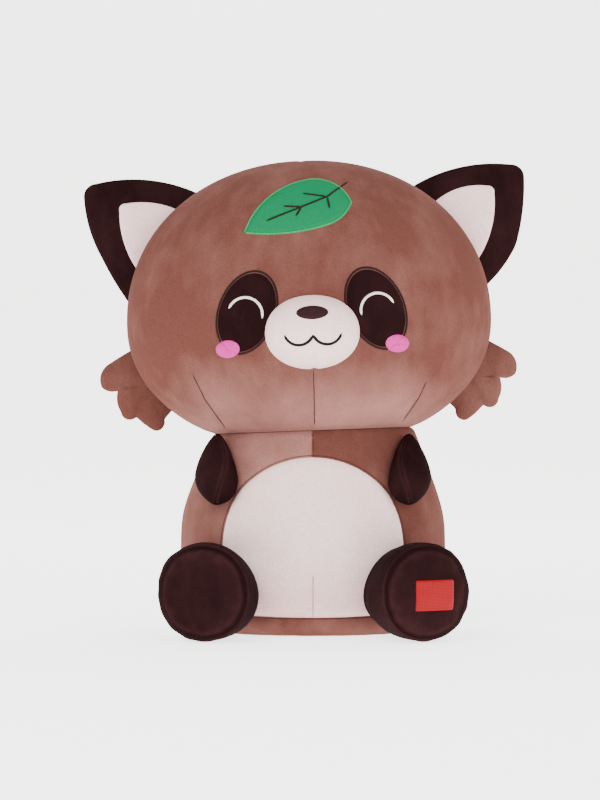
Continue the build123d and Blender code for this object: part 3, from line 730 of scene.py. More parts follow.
dark_plush = short_pile_plush("bitter chocolate", "#1A0B0C", "#3C2223", 0.0)
dark_edge_thread = satin_thread("bitter chocolate", "#2A1717", "#160B0B")
white_thread = satin_thread("white", "#F5EFE6", "#CFC6BC")
pink_thread = satin_thread("pink", "#CC3592", "#B62A7E", 62)
for side, sign in SIDES:
    half_width, half_length = EYE_HALF_WIDTH - EYE_EDGE / 2, EYE_HALF_LENGTH - EYE_EDGE / 2
    rim = ellipse_rim(sign * EYE_OUT, EYE_HEIGHT, half_width, half_length, sign * EYE_LEAN)
    patch = laid_patch(side + "_eye_cloth", head_skin, rim, 0.0007, 10)
    set_nap_and_painted_light(patch, 0.05)
    edge = stitched_band(side + "_eye_edge_satin", head_skin, rim, EYE_EDGE, 0.0009, True)
    eye_skin = surface(HEAD_POSE, head_cloth["head_front"], patch, edge)
    marks = [(sign * out, up) for out, up in EYE_LINE]
    line = [*arc(*marks, 30), marks[2]]
    smile = stitched_band(side + "_eye_line_satin", eye_skin, line, EYE_LINE_STROKE, 0.0011)
    blush_rim = ellipse_rim(sign * BLUSH_OUT, BLUSH_HEIGHT, BLUSH_HALF_WIDTH, BLUSH_HALF_HEIGHT)
    blush = laid_patch(side + "_blush_satin", eye_skin, blush_rim, 0.0013, 4)
    for piece, finish, slot, node in (
        (patch, dark_plush, "dark_felt", "_eye_patch"),
        (edge, dark_edge_thread, "dark_thread", "_eye_border"),
        (smile, white_thread, "white_thread", "_eye_stitching"),
        (blush, pink_thread, "pink_thread", "_blush"),
    ):
        fit(piece, finish, side + node, "body")

# Leaf: emerald polyester felt sewn flat on the brow, its edge covered with light green satin
# stitch. The veins and the stalk are worked on it in dark brown.
LEAF_LENGTH = 0.066
LEAF_WIDTH = 0.035
LEAF_OUT = -0.006
LEAF_HEIGHT = 0.138
LEAF_EDGE = 0.0014
VEIN_STROKE = 0.0016
LEAF_SHARES = (
    (-0.497, -0.446), (-0.242, 0.211), (0.123, 0.497), (0.394, 0.337), (0.5, 0.043),
    (0.417, -0.2), (0.285, -0.351), (-0.091, -0.486),
)
VEIN_SHARES = (
    ((0.488, 0.45), (0.279, 0.157), (0.035, -0.023), (-0.298, -0.257)),
    ((0.279, 0.157), (0.048, 0.231)),
    ((0.279, 0.157), (0.297, -0.077)),
    ((0.035, -0.023), (-0.138, 0.003)),
    ((0.035, -0.023), (-0.023, -0.2)),
)


def leaf_point(share):
    return (LEAF_OUT + share[0] * LEAF_LENGTH, LEAF_HEIGHT + share[1] * LEAF_WIDTH)


def laid_fibres(name, colour, shade):
    """Felt, or thin cloth, of short fibres that lie every way: an even dye, and quite matt."""
    material, tree, shader = blank_finish(name)
    place = add(tree, "TexCoord").outputs["Object"]
    fibres = add(tree, "TexNoise", {"Vector": place, "Scale": 1 / 0.0011, "Detail": 4.0})
    two_tone(tree, shader, fibres.outputs[0], shade, colour, 0.35, 0.0004)
    set_sockets(shader, {"Roughness": 0.9, "Specular IOR Level": 0.1})
    return material


leaf_rim = rim_of_arcs([leaf_point(share) for share in LEAF_SHARES], 18)
leaf = laid_patch("leaf_felt", head_skin, leaf_rim, 0.0009, 30, rows=18)
leaf_felt = laid_fibres("pressed polyester felt, emerald", "#007448", "#00643C")
leaf_edge = stitched_band("leaf_edge_satin", head_skin, leaf_rim, LEAF_EDGE, 0.0011, True)
leaf_thread = satin_thread("light green", "#279555", "#1A7A44")
fit(leaf, leaf_felt, "leaf_applique", "body")
fit(leaf_edge, leaf_thread, "leaf_border", "body")
vein_thread = satin_thread("bark brown", "#2A1715", "#190D0C")
leaf_skin = surface(HEAD_POSE, head_cloth["head_front"], leaf, leaf_edge)
for number, shares in enumerate(VEIN_SHARES):
    line = [leaf_point(share) for share in shares]
    name = f"leaf_vein_{number}_satin"
    vein = stitched_band(name, leaf_skin, line, VEIN_STROKE, 0.0008)
    fit(vein, vein_thread, "leaf_vein_stitching", "body")

# Ears: dark plush, back and front sewn round the edge, turned and lightly filled, with a white
# plush lining let into the front. Their roots are caught in the head's side seam.
EAR_CORNERS = {
    "left": (
        (0.0640, 0.1530), (0.1040, 0.1653), (0.1347, 0.1633), (0.1399, 0.1604), (0.1418, 0.1552),
        (0.1398, 0.1382), (0.1318, 0.1160), (0.1218, 0.0965), (0.1080, 0.0760), (0.0840, 0.1140),
    ),
    "right": (
        (0.0660, 0.1530), (0.1030, 0.1670), (0.1345, 0.1672), (0.1398, 0.1646), (0.1420, 0.1592),
        (0.1407, 0.1395), (0.1352, 0.1150), (0.1240, 0.0985), (0.1080, 0.0840), (0.0840, 0.1140),
    ),
}
EAR_CENTRE = (0.1085, 0.1320)
LINING_CORNERS = {
    "left": (
        (0.0770, 0.1425), (0.0945, 0.1492), (0.1150, 0.1498), (0.1184, 0.1485), (0.1193, 0.1450),
        (0.1172, 0.1250), (0.1070, 0.1030), (0.0900, 0.1190),
    ),
    "right": (
        (0.0790, 0.1410), (0.0980, 0.1525), (0.1180, 0.1538), (0.1212, 0.1524), (0.1221, 0.1487),
        (0.1200, 0.1275), (0.1092, 0.1045), (0.0920, 0.1190),
    ),
}
EAR_HALF_THICKNESS = 0.00663
EAR_WAY = (0.814, 0.581)


def pillow(name, rim, centre, half_thickness, rows, free, most):
    """Two layers of cloth sewn round a rim in the front view, and lightly filled."""
    rim, centre = np.array(rim), np.array(centre)
    shares = [math.sin(math.pi / 2 * (row + 0.4) / (rows + 0.4)) for row in range(rows + 1)]
    rings = []
    for face in (-1, 1):
        for share in shares if face < 0 else shares[-2::-1]:
            back = SIDE_SEAM_BACK + face * half_thickness * (1 - share ** 2.4) ** 0.62
            rings.append(np.insert(centre + (rim - centre) * share, 1, back, axis=1))
    made = closed_form(name, rings)
    stuff(made, 1 - smooth_step(np.abs(off_middle(made)[1]), 0.0, free), most, 2.0)
    refine(made, 1)
    return made


def bend_at(piece):
    """Bakes a piece's transform into its mesh."""
    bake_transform(piece)


level = Matrix.Identity(4)
for side, sign in SIDES:
    rim = [(sign * out, up) for out, up in rim_of_arcs(EAR_CORNERS[side], 12)]
    out, up = sign * EAR_CENTRE[0], EAR_CENTRE[1]
    ear = pillow(side + "_ear_cloth", rim, (out, up), EAR_HALF_THICKNESS, 12, 0.003, 0.0012)
    fill = filling(ear, side + "_ear_wadding", (out, SIDE_SEAM_BACK, up))
    rim = [(sign * out, up) for out, up in rim_of_arcs(LINING_CORNERS[side], 12)]
    skin = surface(level, ear)
    lining = laid_patch(side + "_ear_lining_cloth", skin, rim, 0.0008, 16, rows=12)
    seam = stitched_band(side + "_ear_lining_seam", skin, rim, 0.0010, 0.0003, True)
    set_nap_and_painted_light(ear, 0.1)
    set_nap_and_painted_light(lining, 0.45)
    way = HEAD_POSE.to_3x3() @ Vector((sign * EAR_WAY[0], 0, EAR_WAY[1]))
    for piece in (ear, fill, lining, seam):
        piece.data.transform(HEAD_POSE)
        bend_at(piece)
    fit(ear, dark_plush, side + "_ear_cover")
    fit(lining, white_plush, side + "_ear_lining")
    fit(seam, dark_edge_thread)

# Cheek tufts: flat mitts of cocoa plush with three rounded lobes, sewn, turned and barely filled,
# so that they crumple. Their roots are caught in the side seam low on the cheeks.
TUFT_TILT = math.radians(-30.6)
TUFT_HALF_THICKNESS = 0.00294
TUFT_CORNERS = (
    (0.0950, 0.0640), (0.1135, 0.0553), (0.1262, 0.0480), (0.1325, 0.0410), (0.1322, 0.0325),
    (0.1285, 0.0300), (0.1218, 0.0303), (0.1228, 0.0250), (0.1205, 0.0165), (0.1165, 0.0112),
    (0.1105, 0.0128), (0.1055, 0.0078), (0.0990, 0.0033), (0.0948, 0.0042), (0.0925, 0.0110),
    (0.0800, 0.0420),
)
TUFT_CENTRE = (0.1080, 0.0320)
TUFT_SHIFTS = {"left": 0.0024, "right": 0.0}
# The left tuft is set darker than the right one: painted shade on the left tuft.
TUFT_NAPS_WITH_PAINTED_SHADE = {"left": 0.0, "right": 0.12}
TUFT_FILLED = (0.88, 0.42, 0.88)
TUFT_FOLD = (0.0011, 0.0024, 0.0005)
TUFT_CREASES = (
    ((0.1165, 0.0330), (0.1030, 0.0390)),
    ((0.1075, 0.0190), (0.0990, 0.0310)),
)

for side, sign in SIDES:
    shift = TUFT_SHIFTS[side]
    rim = [(sign * (out + shift), up) for out, up in rim_of_arcs(TUFT_CORNERS, 9)]
    out, up = sign * (TUFT_CENTRE[0] + shift), TUFT_CENTRE[1]
    tuft = pillow(side + "_tuft_cloth", rim, (out, up), TUFT_HALF_THICKNESS, 9, 0.002, 0.0014)
    flat = points(tuft)[:, [0, 2]]
    for crease in TUFT_CREASES:
        line = [(sign * (place + shift), height) for place, height in crease]
        draw_in(tuft, away_from_line(flat, line), *TUFT_FOLD)
    set_nap_and_painted_light(tuft, TUFT_NAPS_WITH_PAINTED_SHADE[side])
    fill = filling(tuft, side + "_tuft_wadding", (out, SIDE_SEAM_BACK, up), TUFT_FILLED)
    way = HEAD_POSE.to_3x3() @ Vector((sign * math.cos(TUFT_TILT), 0, math.sin(TUFT_TILT)))
    for piece in (tuft, fill):
        piece.data.transform(HEAD_POSE)
        bend_at(piece)
    fit(tuft, cocoa_plush, side + "_tuft_cover")

# Torso: a pear of cocoa plush in a front and two back panels on a flat base panel, filled with
# fibre over a pouch of pellets. A white tummy panel is let into the front.
TORSO_HALF_WIDTH = 0.085
TORSO_HALF_DEPTH = 0.069
BASE_SEAM_HEIGHT = 0.012
TORSO_GRID = (30, 84)
NECK_LEAN = math.tan(math.radians(2.0))
TORSO_SHARES = (
    (0.0, 0.776, 0.783), (0.032, 0.882, 0.884), (0.095, 0.953, 0.957), (0.22, 0.994, 0.995),
    (0.39, 1.0, 1.0), (0.59, 0.982, 0.949), (0.764, 0.898, 0.848), (0.93, 0.8, 0.725),
    (1.0, 0.757, 0.675),
)
TUMMY_TOP = 0.1115
TUMMY_SHOULDER = (0.0472, 0.089)
TUMMY_WIDEST = (0.0570, 0.058)
TUMMY_FOOT = (0.0425, 0.0122)
TUMMY_SEAM_FOOT = 0.0112
BASE_SEAM = (0.0016, 0.0026, 0.0008)
TUMMY_EDGE_SEAM = (0.0008, 0.0020, 0.0004)
TUMMY_CENTRE_SEAM = (0.0008, 0.0012)


def through_table(table, along):
    """Widths and thicknesses at a place along a table, on a smooth line through its rows."""
    keys = np.array([row[0] for row in table])
    values = np.array([row[1:] for row in table])
    slopes = np.gradient(values, keys, axis=0)
    number = int(np.clip(np.searchsorted(keys, along) - 1, 0, len(keys) - 2))
    gap = keys[number + 1] - keys[number]
    t = (along - keys[number]) / gap
    return (
        (1 + 2 * t) * (1 - t) ** 2 * values[number]
        + t * (1 - t) ** 2 * gap * slopes[number]
        + t * t * (3 - 2 * t) * values[number + 1]
        + t * t * (t - 1) * gap * slopes[number + 1]
    )


def torso_nap(name, place):
    """Brushed up on the left of the chest and lying on the right, as two hands would leave it."""
    if name == "torso_front":
        chest = 0.68 - 0.45 * smooth_step(-place[:, 0], 0.03, 0.07)
        return np.where(place[:, 0] < 0, chest, 0.0)
    return 0.18 if name == "base" else 0.12


def table_rings(shares, size, grid, start=(0, 0, 0), way=(0, 0, 1), across=(1, 0, 0)):
    """Rings along a way, from a table of shares of a length and two half widths."""
    length, half_width, half_depth = size
    rows, columns = grid
    way, across = Vector(way).normalized(), Vector(across).normalized()
    through = np.array(way.cross(across))
    rings = []
    for number in range(rows + 1):
        along = shares[0][0] + (shares[-1][0] - shares[0][0]) * number / rows
        width, depth, *shift = through_table(shares, along)
        ring = oval(width * half_width, depth * half_depth, columns)
        aside = across * (shift[0] * half_width if shift else 0)
        middle = np.array(Vector(start) + way * along * length + aside)
        rings.append(middle + ring[:, :1] * np.array(across) + ring[:, 1:2] * through)
    return rings


torso_size = (NECK_HEIGHT, TORSO_HALF_WIDTH - PANEL_SWELL, TORSO_HALF_DEPTH - PANEL_SWELL)
torso_rings = table_rings(TORSO_SHARES, torso_size, TORSO_GRID)
for ring in torso_rings:
    ring[:, 2] += ring[:, 0] * smooth_step(ring[0, 2] / NECK_HEIGHT, 0.6, 1.0) * NECK_LEAN
torso_rings.insert(-1, (torso_rings[-1] * 4 + torso_rings[-2]) / 5)
for share in (0.99, 0.94, 0.6, 0.25):
    torso_rings.insert(0, torso_rings[0] * (share, share, 1))
    torso_rings.append(torso_rings[-1] * (share, share, 1) + (0, 0, 0.0004))
torso = closed_form("torso_form", torso_rings)
aside, back, up = off_middle(torso)
off_seam = np.minimum(np.abs(back), np.abs(up - BASE_SEAM_HEIGHT))
off_seam = np.minimum(off_seam, NECK_HEIGHT - up + aside * 0.03)
off_seam = np.minimum(off_seam, np.where(back > 0, aside, 1.0))
held = np.where(up < 0.002, 1.0, 1 - smooth_step(off_seam, 0.002, 0.010))
stuff(torso, held, PANEL_SWELL_MOST)
refine(torso, 2)

shoulder, widest, foot = [(-out, up) for out, up in (TUMMY_SHOULDER, TUMMY_WIDEST, TUMMY_FOOT)]
tummy_rim = [
    *arc(shoulder, (0, TUMMY_TOP), TUMMY_SHOULDER, 44),
    *arc(TUMMY_SHOULDER, TUMMY_WIDEST, TUMMY_FOOT, 36),
    *arc(TUMMY_FOOT, (0, TUMMY_SEAM_FOOT), foot, 36),
    *arc(foot, widest, shoulder, 36),
]
aside, back, up = off_middle(torso)
front, flat = back < 0, points(torso)[:, [0, 2]]
below_neck = NECK_HEIGHT + flat[:, 0] * NECK_LEAN - up
off_neck = 0.01 * (1 - smooth_step(below_neck, 0.001, 0.007))
draw_in(torso, np.abs(back) + off_neck, *MAIN_SEAM)
draw_in(torso, np.where(front, 1.0, aside) + off_neck, *MAIN_SEAM)
draw_in(torso, np.where(front & (up > TUMMY_TOP), aside, 1.0) + off_neck, *FINE_SEAM)
draw_in(torso, np.abs(up - BASE_SEAM_HEIGHT), *BASE_SEAM)
away = away_from_line(flat, [*tummy_rim, tummy_rim[0]])
draw_in(torso, np.where(front, away, 1.0), *TUMMY_EDGE_SEAM)
draw_in(torso, below_neck, *NECK_SEAM)

torso_fill = filling(torso, "torso_stuffing")
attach(torso_fill, "body")
above_seam = ((0, 0, BASE_SEAM_HEIGHT), (0, 0, 1))
torso_panels = {
    "torso_front": [above_seam, ((0, SIDE_SEAM_BACK, 0), (0, -1, 0))],
    "torso_back_left": [above_seam, back_of_seam, ((0, 0, 0), (-1, 0, 0))],
    "torso_back_right": [above_seam, back_of_seam, ((0, 0, 0), (1, 0, 0))],
    "base": [((0, 0, BASE_SEAM_HEIGHT), (0, 0, -1))],
}
torso_cloth = sew_panels(torso, torso_panels, torso_nap, level)

torso_skin = surface(level, torso_cloth["torso_front"], torso_cloth["base"])
tummy = laid_patch("tummy_cloth", torso_skin, tummy_rim, 0.0007, 24, 0.0005, 40)
rest = points(tummy)
tummy_seam = away_from_line(rest[:, [0, 2]], ((0, 0.0175), (0, 0.038)))
draw_in(tummy, tummy_seam, *TUMMY_CENTRE_SEAM)
# The tummy is painted darker towards its foot: painted shade low down by the legs.
set_nap_and_painted_light(tummy, 0.12 + 0.5 * smooth_step(rest[:, 2], 0.012, 0.055))
fit(tummy, white_plush, "tummy_patch", "body")

white_seam_thread = satin_thread("ecru", "#B9918D", "#94706C", kind=SPUN_THREAD)
tummy_skin = surface(level, torso_cloth["torso_front"], torso_cloth["base"], tummy)
for name, line, finish, *more in (
    ("torso_centre_seam_thread", ((0, 0.1255), (0, 0.1125)), cocoa_thread),
    ("tummy_seam_thread", tummy_rim, cocoa_thread, SEAM_THREAD_WIDTH / 2, True),
    ("tummy_centre_seam_thread", ((0, 0.0125), (0, 0.033)), white_seam_thread),
):
    seam_thread(name, tummy_skin, line, finish, *more)

# Pellet pouch: a small bag of thin spunbonded cloth in the bottom of the torso, with loose
# polyethylene pellets inside that make the toy sit firmly.
POUCH_HALF_WIDTH = 0.046
POUCH_HALF_DEPTH = 0.036
POUCH_HEIGHT = 0.026
POUCH_FLOOR = 0.0045
POUCH_MARGIN = 0.004
PELLET_RADIUS = 0.0021
PELLET_GAP = 0.0056
PELLET_NUDGE = 0.0006
PELLET_LAYERS = 4
PELLETS_ASIDE = 9
PELLETS_BACK = 7
POUCH_SHARES = (
    (0.0, 0.72, 0.72), (0.18, 0.93, 0.93), (0.45, 1.0, 1.0), (0.75, 0.86, 0.86), (1.0, 0.5, 0.5),
)
pouch_size = (POUCH_HEIGHT, POUCH_HALF_WIDTH, POUCH_HALF_DEPTH)
pouch_rings = table_rings(POUCH_SHARES, pouch_size, (10, 48), (0, 0, POUCH_FLOOR))
for share in (0.7, 0.3):
    pouch_rings.insert(0, pouch_rings[0] * (share, share, 1))
    pouch_rings.append(pouch_rings[-1] * (share, share, 1))
pouch = closed_form("pellet_pouch_cloth", pouch_rings)
refine(pouch, 1)
pouch_cloth = laid_fibres("spunbonded polypropylene, white", "#ECEBE6", "#D5D4CE")
fit(pouch, pouch_cloth, "pellet_pouch", "body")
pellet_corners, pellet_faces = [], []
work = bmesh.new()
bmesh.ops.create_icosphere(work, subdivisions=1, radius=PELLET_RADIUS)
pellet_shape = [corner.co.copy() for corner in work.verts]
pellet_sides = [[corner.index for corner in face.verts] for face in work.faces]
work.free()
shake = random.Random(7)
for layer in range(PELLET_LAYERS):
    up = POUCH_FLOOR + POUCH_MARGIN + layer * PELLET_GAP
    width, depth = through_table(POUCH_SHARES, (up - POUCH_FLOOR) / POUCH_HEIGHT)
    half_width = width * POUCH_HALF_WIDTH - POUCH_MARGIN
    half_depth = depth * POUCH_HALF_DEPTH - POUCH_MARGIN
    for column in range(-PELLETS_ASIDE, PELLETS_ASIDE + 1):
        for row in range(-PELLETS_BACK, PELLETS_BACK + 1):
            x = (column + 0.5 * (layer % 2)) * PELLET_GAP
            y = (row + 0.5 * (layer % 2)) * PELLET_GAP
            if math.hypot(x / half_width, y / half_depth) > 1:
                continue
            nudge = Vector([shake.uniform(-PELLET_NUDGE, PELLET_NUDGE) for _ in range(3)])
            first = len(pellet_corners)
            pellet_corners += [corner + Vector((x, y, up)) + nudge for corner in pellet_shape]
            pellet_faces += [[first + number for number in side] for side in pellet_sides]
pellets = make("pellet_heap", pellet_corners, pellet_faces)
pellet_plastic, pellet_tree, pellet_shader = blank_finish("moulded polyethylene pellets, white")
pellet_tint = add(pellet_tree, "TexNoise", {"Scale": 120.0})
two_tone(pellet_tree, pellet_shader, pellet_tint.outputs[0], "#DADAD8", "#F4F4F2")
set_sockets(pellet_shader, {"Roughness": 0.4})
fit(pellets, pellet_plastic, "pellets", "body")

# Arms: small drops of dark plush, each of two halves with a seam down its inner front, filled and
# caught by the point in the neck seam, so that they hang against the sides and swing forward.
ARM_TOP = (0.0592, -0.0310, 0.1245)
ARM_END = (0.0605, -0.0540, 0.0815)
ARM_FACING = 41.0
ARM_SEAM_BULGE = 0.0060
ARM_SEAM = (0.0011, 0.0016, 0.0006)
ARM_HALF_WIDTH = 0.0158
ARM_HALF_THICKNESS = 0.0112
ARM_SHARES = (
    (0.0, 0.12, 0.22), (0.1, 0.36, 0.45), (0.3, 0.70, 0.74), (0.52, 0.94, 0.94), (0.67, 1.0, 1.0),
    (0.84, 0.80, 0.82), (0.94, 0.50, 0.54), (1.0, 0.16, 0.2),
)


def along_way(piece, start, way):
    """How far along a way from its start each point of a piece lies."""
    return (points(piece) - np.array(start)) @ np.array(way)


for side, sign in SIDES:
    top = Vector((sign * ARM_TOP[0], *ARM_TOP[1:]))
    run = Vector((sign * ARM_END[0], *ARM_END[1:])) - top
    facing = math.radians(ARM_FACING)
    across = Vector((sign * math.cos(facing), math.sin(facing), 0))
    size = (run.length, ARM_HALF_WIDTH, ARM_HALF_THICKNESS)
    rings = table_rings(ARM_SHARES, size, (16, 32), top, run, across)
    arm = closed_form(side + "_arm_cloth", rings)
    off_seam = np.abs(along_way(arm, top, across) + 0.005)
    off_seam = np.minimum(off_seam, along_way(arm, top, run.normalized()))
    held = (1 - smooth_step(off_seam, 0.001, 0.006)) * (points(arm)[:, 1] < top.y)
    stuff(arm, held, 0.0012, 2.5)
    refine(arm, 2)
    rest = points(arm) - np.array(top)
    along = rest @ np.array(run) / run.length_squared
    aside = sign * (rest - along[:, None] * np.array(run))[:, 0]
    bulge = ARM_SEAM_BULGE * np.sin(math.pi * np.clip(along, 0, 1))
    seam = np.where(outward(arm)[:, 1] < 0, np.abs(aside + bulge), 1.0)
    draw_in(arm, seam, *ARM_SEAM)
    # A pale line just beside the seam is painted highlight, set through the nap.
    set_nap_and_painted_light(arm, 0.08 + 0.28 * np.exp(-(((seam - 0.0012) / 0.0009) ** 2)))
    fill = filling(arm, side + "_arm_stuffing", top + run * 0.6, (0.8, 0.8, 0.85))
    for piece in (arm, fill):
        bend_at(piece)
    fit(arm, dark_plush, side + "_arm_cover")

# Legs: fat tubes of dark plush that splay forward from the torso, each closed by a round sole
# panel. The sole's seam stands in a fine valley, and the cloth gathers a little beside it.
LEG_HALF_WIDTH = 0.0315
LEG_HALF_HEIGHT = 0.0305
LEG_LENGTH = 0.074
LEG_SWELL = 0.001
LEG_SAG = 0.005
SOLE_SEAM = (0.0011, 0.0016, 0.0010)
SOLE_FRONT = 0.104
SOLE_OUTS = {"left": 0.0658, "right": 0.0678}
SPLAYS = {"left": 22.0, "right": 28.0}
SOLE_SHARES = (
    (-0.062, 0.12, 0.12, 0.0), (-0.056, 0.42, 0.42, 0.0), (-0.042, 0.72, 0.72, 0.0),
    (-0.020, 0.90, 0.90, 0.0), (0.0, 0.982, 0.982, 0.0),
)
LEG_SHARES = (
    *SOLE_SHARES,
    (0.06, 0.992, 0.992, 0.04), (0.2, 1.0, 1.0, 0.16), (0.4, 0.97, 0.97, 0.33),
    (0.6, 0.89, 0.89, 0.46), (0.8, 0.81, 0.81, 0.58), (0.95, 0.6, 0.6, 0.66),
    (1.0, 0.35, 0.35, 0.7),
)
leg_cloth = {}
for side, sign in SIDES:
    turn = math.radians(SPLAYS[side])
    start = Vector((sign * SOLE_OUTS[side], -SOLE_FRONT, LEG_HALF_HEIGHT - 0.0005))
    way = Vector((-sign * math.sin(turn), math.cos(turn), 0))
    across = Vector((sign * math.cos(turn), math.sin(turn), 0))
    size = (LEG_LENGTH, LEG_HALF_WIDTH - LEG_SWELL, LEG_HALF_HEIGHT - LEG_SWELL)
    rings = table_rings(LEG_SHARES, size, (34, 48), start, way, across)
    leg = closed_form(side + "_leg_form", rings)
    along = along_way(leg, start, way)
    held = 1 - smooth_step(np.abs(along), 0.001, 0.007)
    stuff(leg, np.maximum(held, smooth_step(along, 0.055, 0.065)), 0.0007)
    refine(leg, 2)
    along = along_way(leg, start, way)
    draw_in(leg, np.abs(along), *SOLE_SEAM)
    rest = points(leg)
    sag = LEG_SAG * smooth_step(along, 0.002, 0.030) * (1 - smooth_step(rest[:, 2], 0.016, 0.055))
    rest -= sag[:, None] * np.array(across)
    low = rest[:, 2]
    rest[:, 2] = np.where(low < 0.001, 0.0003 + 0.0007 * np.exp((low - 0.001) / 0.0007), low)
    set_points(leg, rest)
    fill = filling(leg, side + "_leg_stuffing")
    wall = panel(leg, side + "_leg_cloth", [(start, way)])
    sole = panel(leg, side + "_sole_cloth", [(start, -way)])
    bpy.data.objects.remove(leg)
    for piece in (wall, fill, sole):
        bend_at(piece)
    for piece, node, nap in ((wall, "_leg_cover", 0.08), (sole, "_sole_panel", 0.16)):
        off_seam = np.abs(along_way(piece, start, way))
        # Painted highlight: a pale line on each side of the sole seam. Painted shade: the seam's
        # valley darker.
        painted_seam_highlight = 0.25 * np.exp(-(((off_seam - 0.0014) / 0.0006) ** 2))
        set_nap_and_painted_light(piece, nap + painted_seam_highlight - 0.3 * np.exp(-((off_seam / 0.0008) ** 2)))
        fit(piece, dark_plush, side + node)
    leg_cloth[side] = (sole, start, way, across)

# Foot label: a woven red polyester ribbon with a folded edge, left bare, laid on the right sole
# and sewn down round its edge with a running stitch in red thread.
LABEL_HALF_LENGTH = 0.01345
LABEL_HALF_HEIGHT = 0.0093
LABEL_OUT = 0.0036
LABEL_DROP = 0.0014
LABEL_ROUND = 0.0008
RIBBON_THREAD_MM = 0.45
STITCH_LENGTH = 0.0016
STITCH_GAP = 0.0009
STITCHES_IN = (0.915, 0.87)
RIM_STEP = 0.0002


def woven_ribbon(name, colour, shade):
    """Woven polyester ribbon: fine crossing threads and a slight silky shine."""
    material, tree, shader = blank_finish(name)
    chart = add(tree, "TexCoord").outputs["UV"]
    wave = {"Vector": chart, "Scale": 0.16 / RIBBON_THREAD_MM}
    warp = add(tree, "TexWave", wave, bands_direction="X").outputs["Fac"]
    weft = add(tree, "TexWave", wave, bands_direction="Y").outputs["Fac"]
    weave = add(tree, "Math", {0: warp, 1: weft}, operation="MULTIPLY")
    two_tone(tree, shader, weave.outputs[0], shade, colour, 0.5, 0.0002)
    set_sockets(shader, {"Roughness": 0.5, "Specular IOR Level": 0.15})
    return material


sole, start, way, across = leg_cloth["right"]
sole_frame = Matrix((across, way, Vector((0, 0, 1)))).transposed().to_4x4()
sole_frame.translation = start
label_rim = []
for corner, (x, y) in enumerate(((1, 1), (-1, 1), (-1, -1), (1, -1))):
    out = LABEL_OUT + x * (LABEL_HALF_LENGTH - LABEL_ROUND)
    up = y * (LABEL_HALF_HEIGHT - LABEL_ROUND) - LABEL_DROP
    for step in range(5):
        spot = complex(out, up) + cmath.rect(LABEL_ROUND, math.radians(90 * corner + 22.5 * step))
        label_rim.append((spot.real, spot.imag))
label_rim = even_steps([*label_rim, label_rim[0]], 0.0012)[:-1]
sole_skin = surface(sole_frame, sole)
label = laid_patch("foot_label_ribbon", sole_skin, label_rim, 0.0009, 30, 0.0003, 16)
label_finish = woven_ribbon("woven polyester ribbon, red", "#9C000A", "#7C0008")
fit(label, label_finish, "foot_label", "right_leg")
label_skin = surface(sole_frame, sole, label)
centre = np.mean(label_rim, axis=0)
inner_rim = centre + (label_rim - centre) * STITCHES_IN
inner_rim = even_steps([*inner_rim, inner_rim[0]], RIM_STEP)
red_thread = satin_thread("red", "#B8141E", "#800A12", kind=SPUN_THREAD)
steps_each = round((STITCH_LENGTH + STITCH_GAP) / RIM_STEP)
for number in range(len(inner_rim) // steps_each):
    run = inner_rim[number * steps_each:][:round(STITCH_LENGTH / RIM_STEP)]
    name = f"label_stitch_{number}"
    stitch = stitched_band(name, label_skin, run, 0.0006, 0.0003, sink=0)
    fit(stitch, red_thread, body="right_leg")

# Tail: a short stuffed club of cocoa plush with a dark tip, sewn on low at the back. It isn't
# seen in the photograph.
TAIL_START = (0, 0.050, 0.0292)
TAIL_RISE = 22.0
TAIL_LENGTH = 0.068
TAIL_RADIUS = 0.0170
TAIL_SWELL = 0.0006
TAIL_TIP_SHARE = 0.68
TAIL_SEAM = (0.0012, 0.0020, 0.0008)
TAIL_SHARES = (
    (0.0, 0.55, 0.55), (0.2, 0.74, 0.74), (0.45, 0.93, 0.93), (0.65, 1.0, 1.0),
    (0.83, 0.86, 0.86), (0.94, 0.55, 0.55), (1.0, 0.18, 0.18),
)
rise = math.radians(TAIL_RISE)
tail_way = Vector((0, math.cos(rise), math.sin(rise)))
size = (TAIL_LENGTH, TAIL_RADIUS - TAIL_SWELL, TAIL_RADIUS - TAIL_SWELL)
tail_rings = table_rings(TAIL_SHARES, size, (22, 36), TAIL_START, tail_way)
tail = closed_form("tail_form", tail_rings)
tip_seam = TAIL_TIP_SHARE * TAIL_LENGTH
along = along_way(tail, TAIL_START, tail_way)
held = 1 - smooth_step(np.abs(along - tip_seam), 0.001, 0.006)
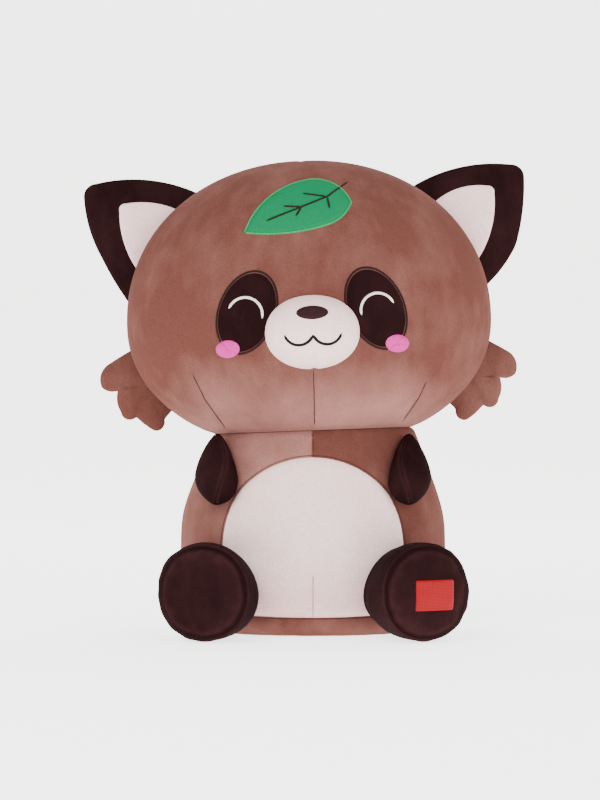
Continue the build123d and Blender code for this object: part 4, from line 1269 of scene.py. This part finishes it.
stuff(tail, np.maximum(held, 1 - smooth_step(along, 0.004, 0.012)), 0.001)
refine(tail, 2)
along = along_way(tail, TAIL_START, tail_way)
draw_in(tail, np.abs(along - tip_seam), *TAIL_SEAM)
tail_fill = filling(tail, "tail_stuffing", depth=0.0026)
seam_spot = Vector(TAIL_START) + tail_way * tip_seam
tail_root = panel(tail, "tail_cloth", [(seam_spot, -tail_way)])
tail_tip = panel(tail, "tail_tip_cloth", [(seam_spot, tail_way)])
bpy.data.objects.remove(tail)
for piece in (tail_root, tail_tip, tail_fill):
    bend_at(piece)
for piece, finish, slot, node, nap in (
    (tail_root, cocoa_plush, "brown_plush", "tail_cover", 0.25),
    (tail_tip, dark_plush, "dark_plush", "tail_tip_cover", 0.15),
):
    set_nap_and_painted_light(piece, nap)
    fit(piece, finish, node)

# Care label: a folded strip of thin white satin ribbon, left bare, caught by its ends in the base
# seam at the back, so that it stands out flat and droops a little.
CARE_HALF_WIDTH = 0.009
CARE_OUT = -0.033
CARE_REACH = 0.026
CARE_FOLD = 0.0005
CARE_DROOP = 0.0035
care_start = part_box("care_label")[0].y - 0.004
care_line = []
for step in range(17):
    share = step / 16
    drop = CARE_DROOP * share ** 2
    care_line.append((care_start + CARE_REACH * share, BASE_SEAM_HEIGHT + CARE_FOLD - drop))
end, height = care_line[-1]
for step in range(1, 6):
    turn = math.pi * step / 6
    care_line.append((end + CARE_FOLD * math.sin(turn), height - CARE_FOLD * (1 - math.cos(turn))))
care_line += [(back, up - 2 * CARE_FOLD) for back, up in care_line[16::-1]]
care_corners, care_faces = [], []
for row, (back, up) in enumerate(care_line):
    for column in range(5):
        x = CARE_OUT + CARE_HALF_WIDTH * (column / 2 - 1)
        care_corners.append((x, back, up + 0.0006 * math.sin(column * 1.4)))
        if row and column:
            last = row * 5 + column
            care_faces.append((last - 6, last - 5, last, last - 1))
care = make("care_label_ribbon", care_corners, care_faces)
refine(care, 1)
care_ribbon = laid_fibres("printed-face satin ribbon, white, left bare", "#F3F2EE", "#E2E0DA")
fit(care, care_ribbon, "care_label", "body")
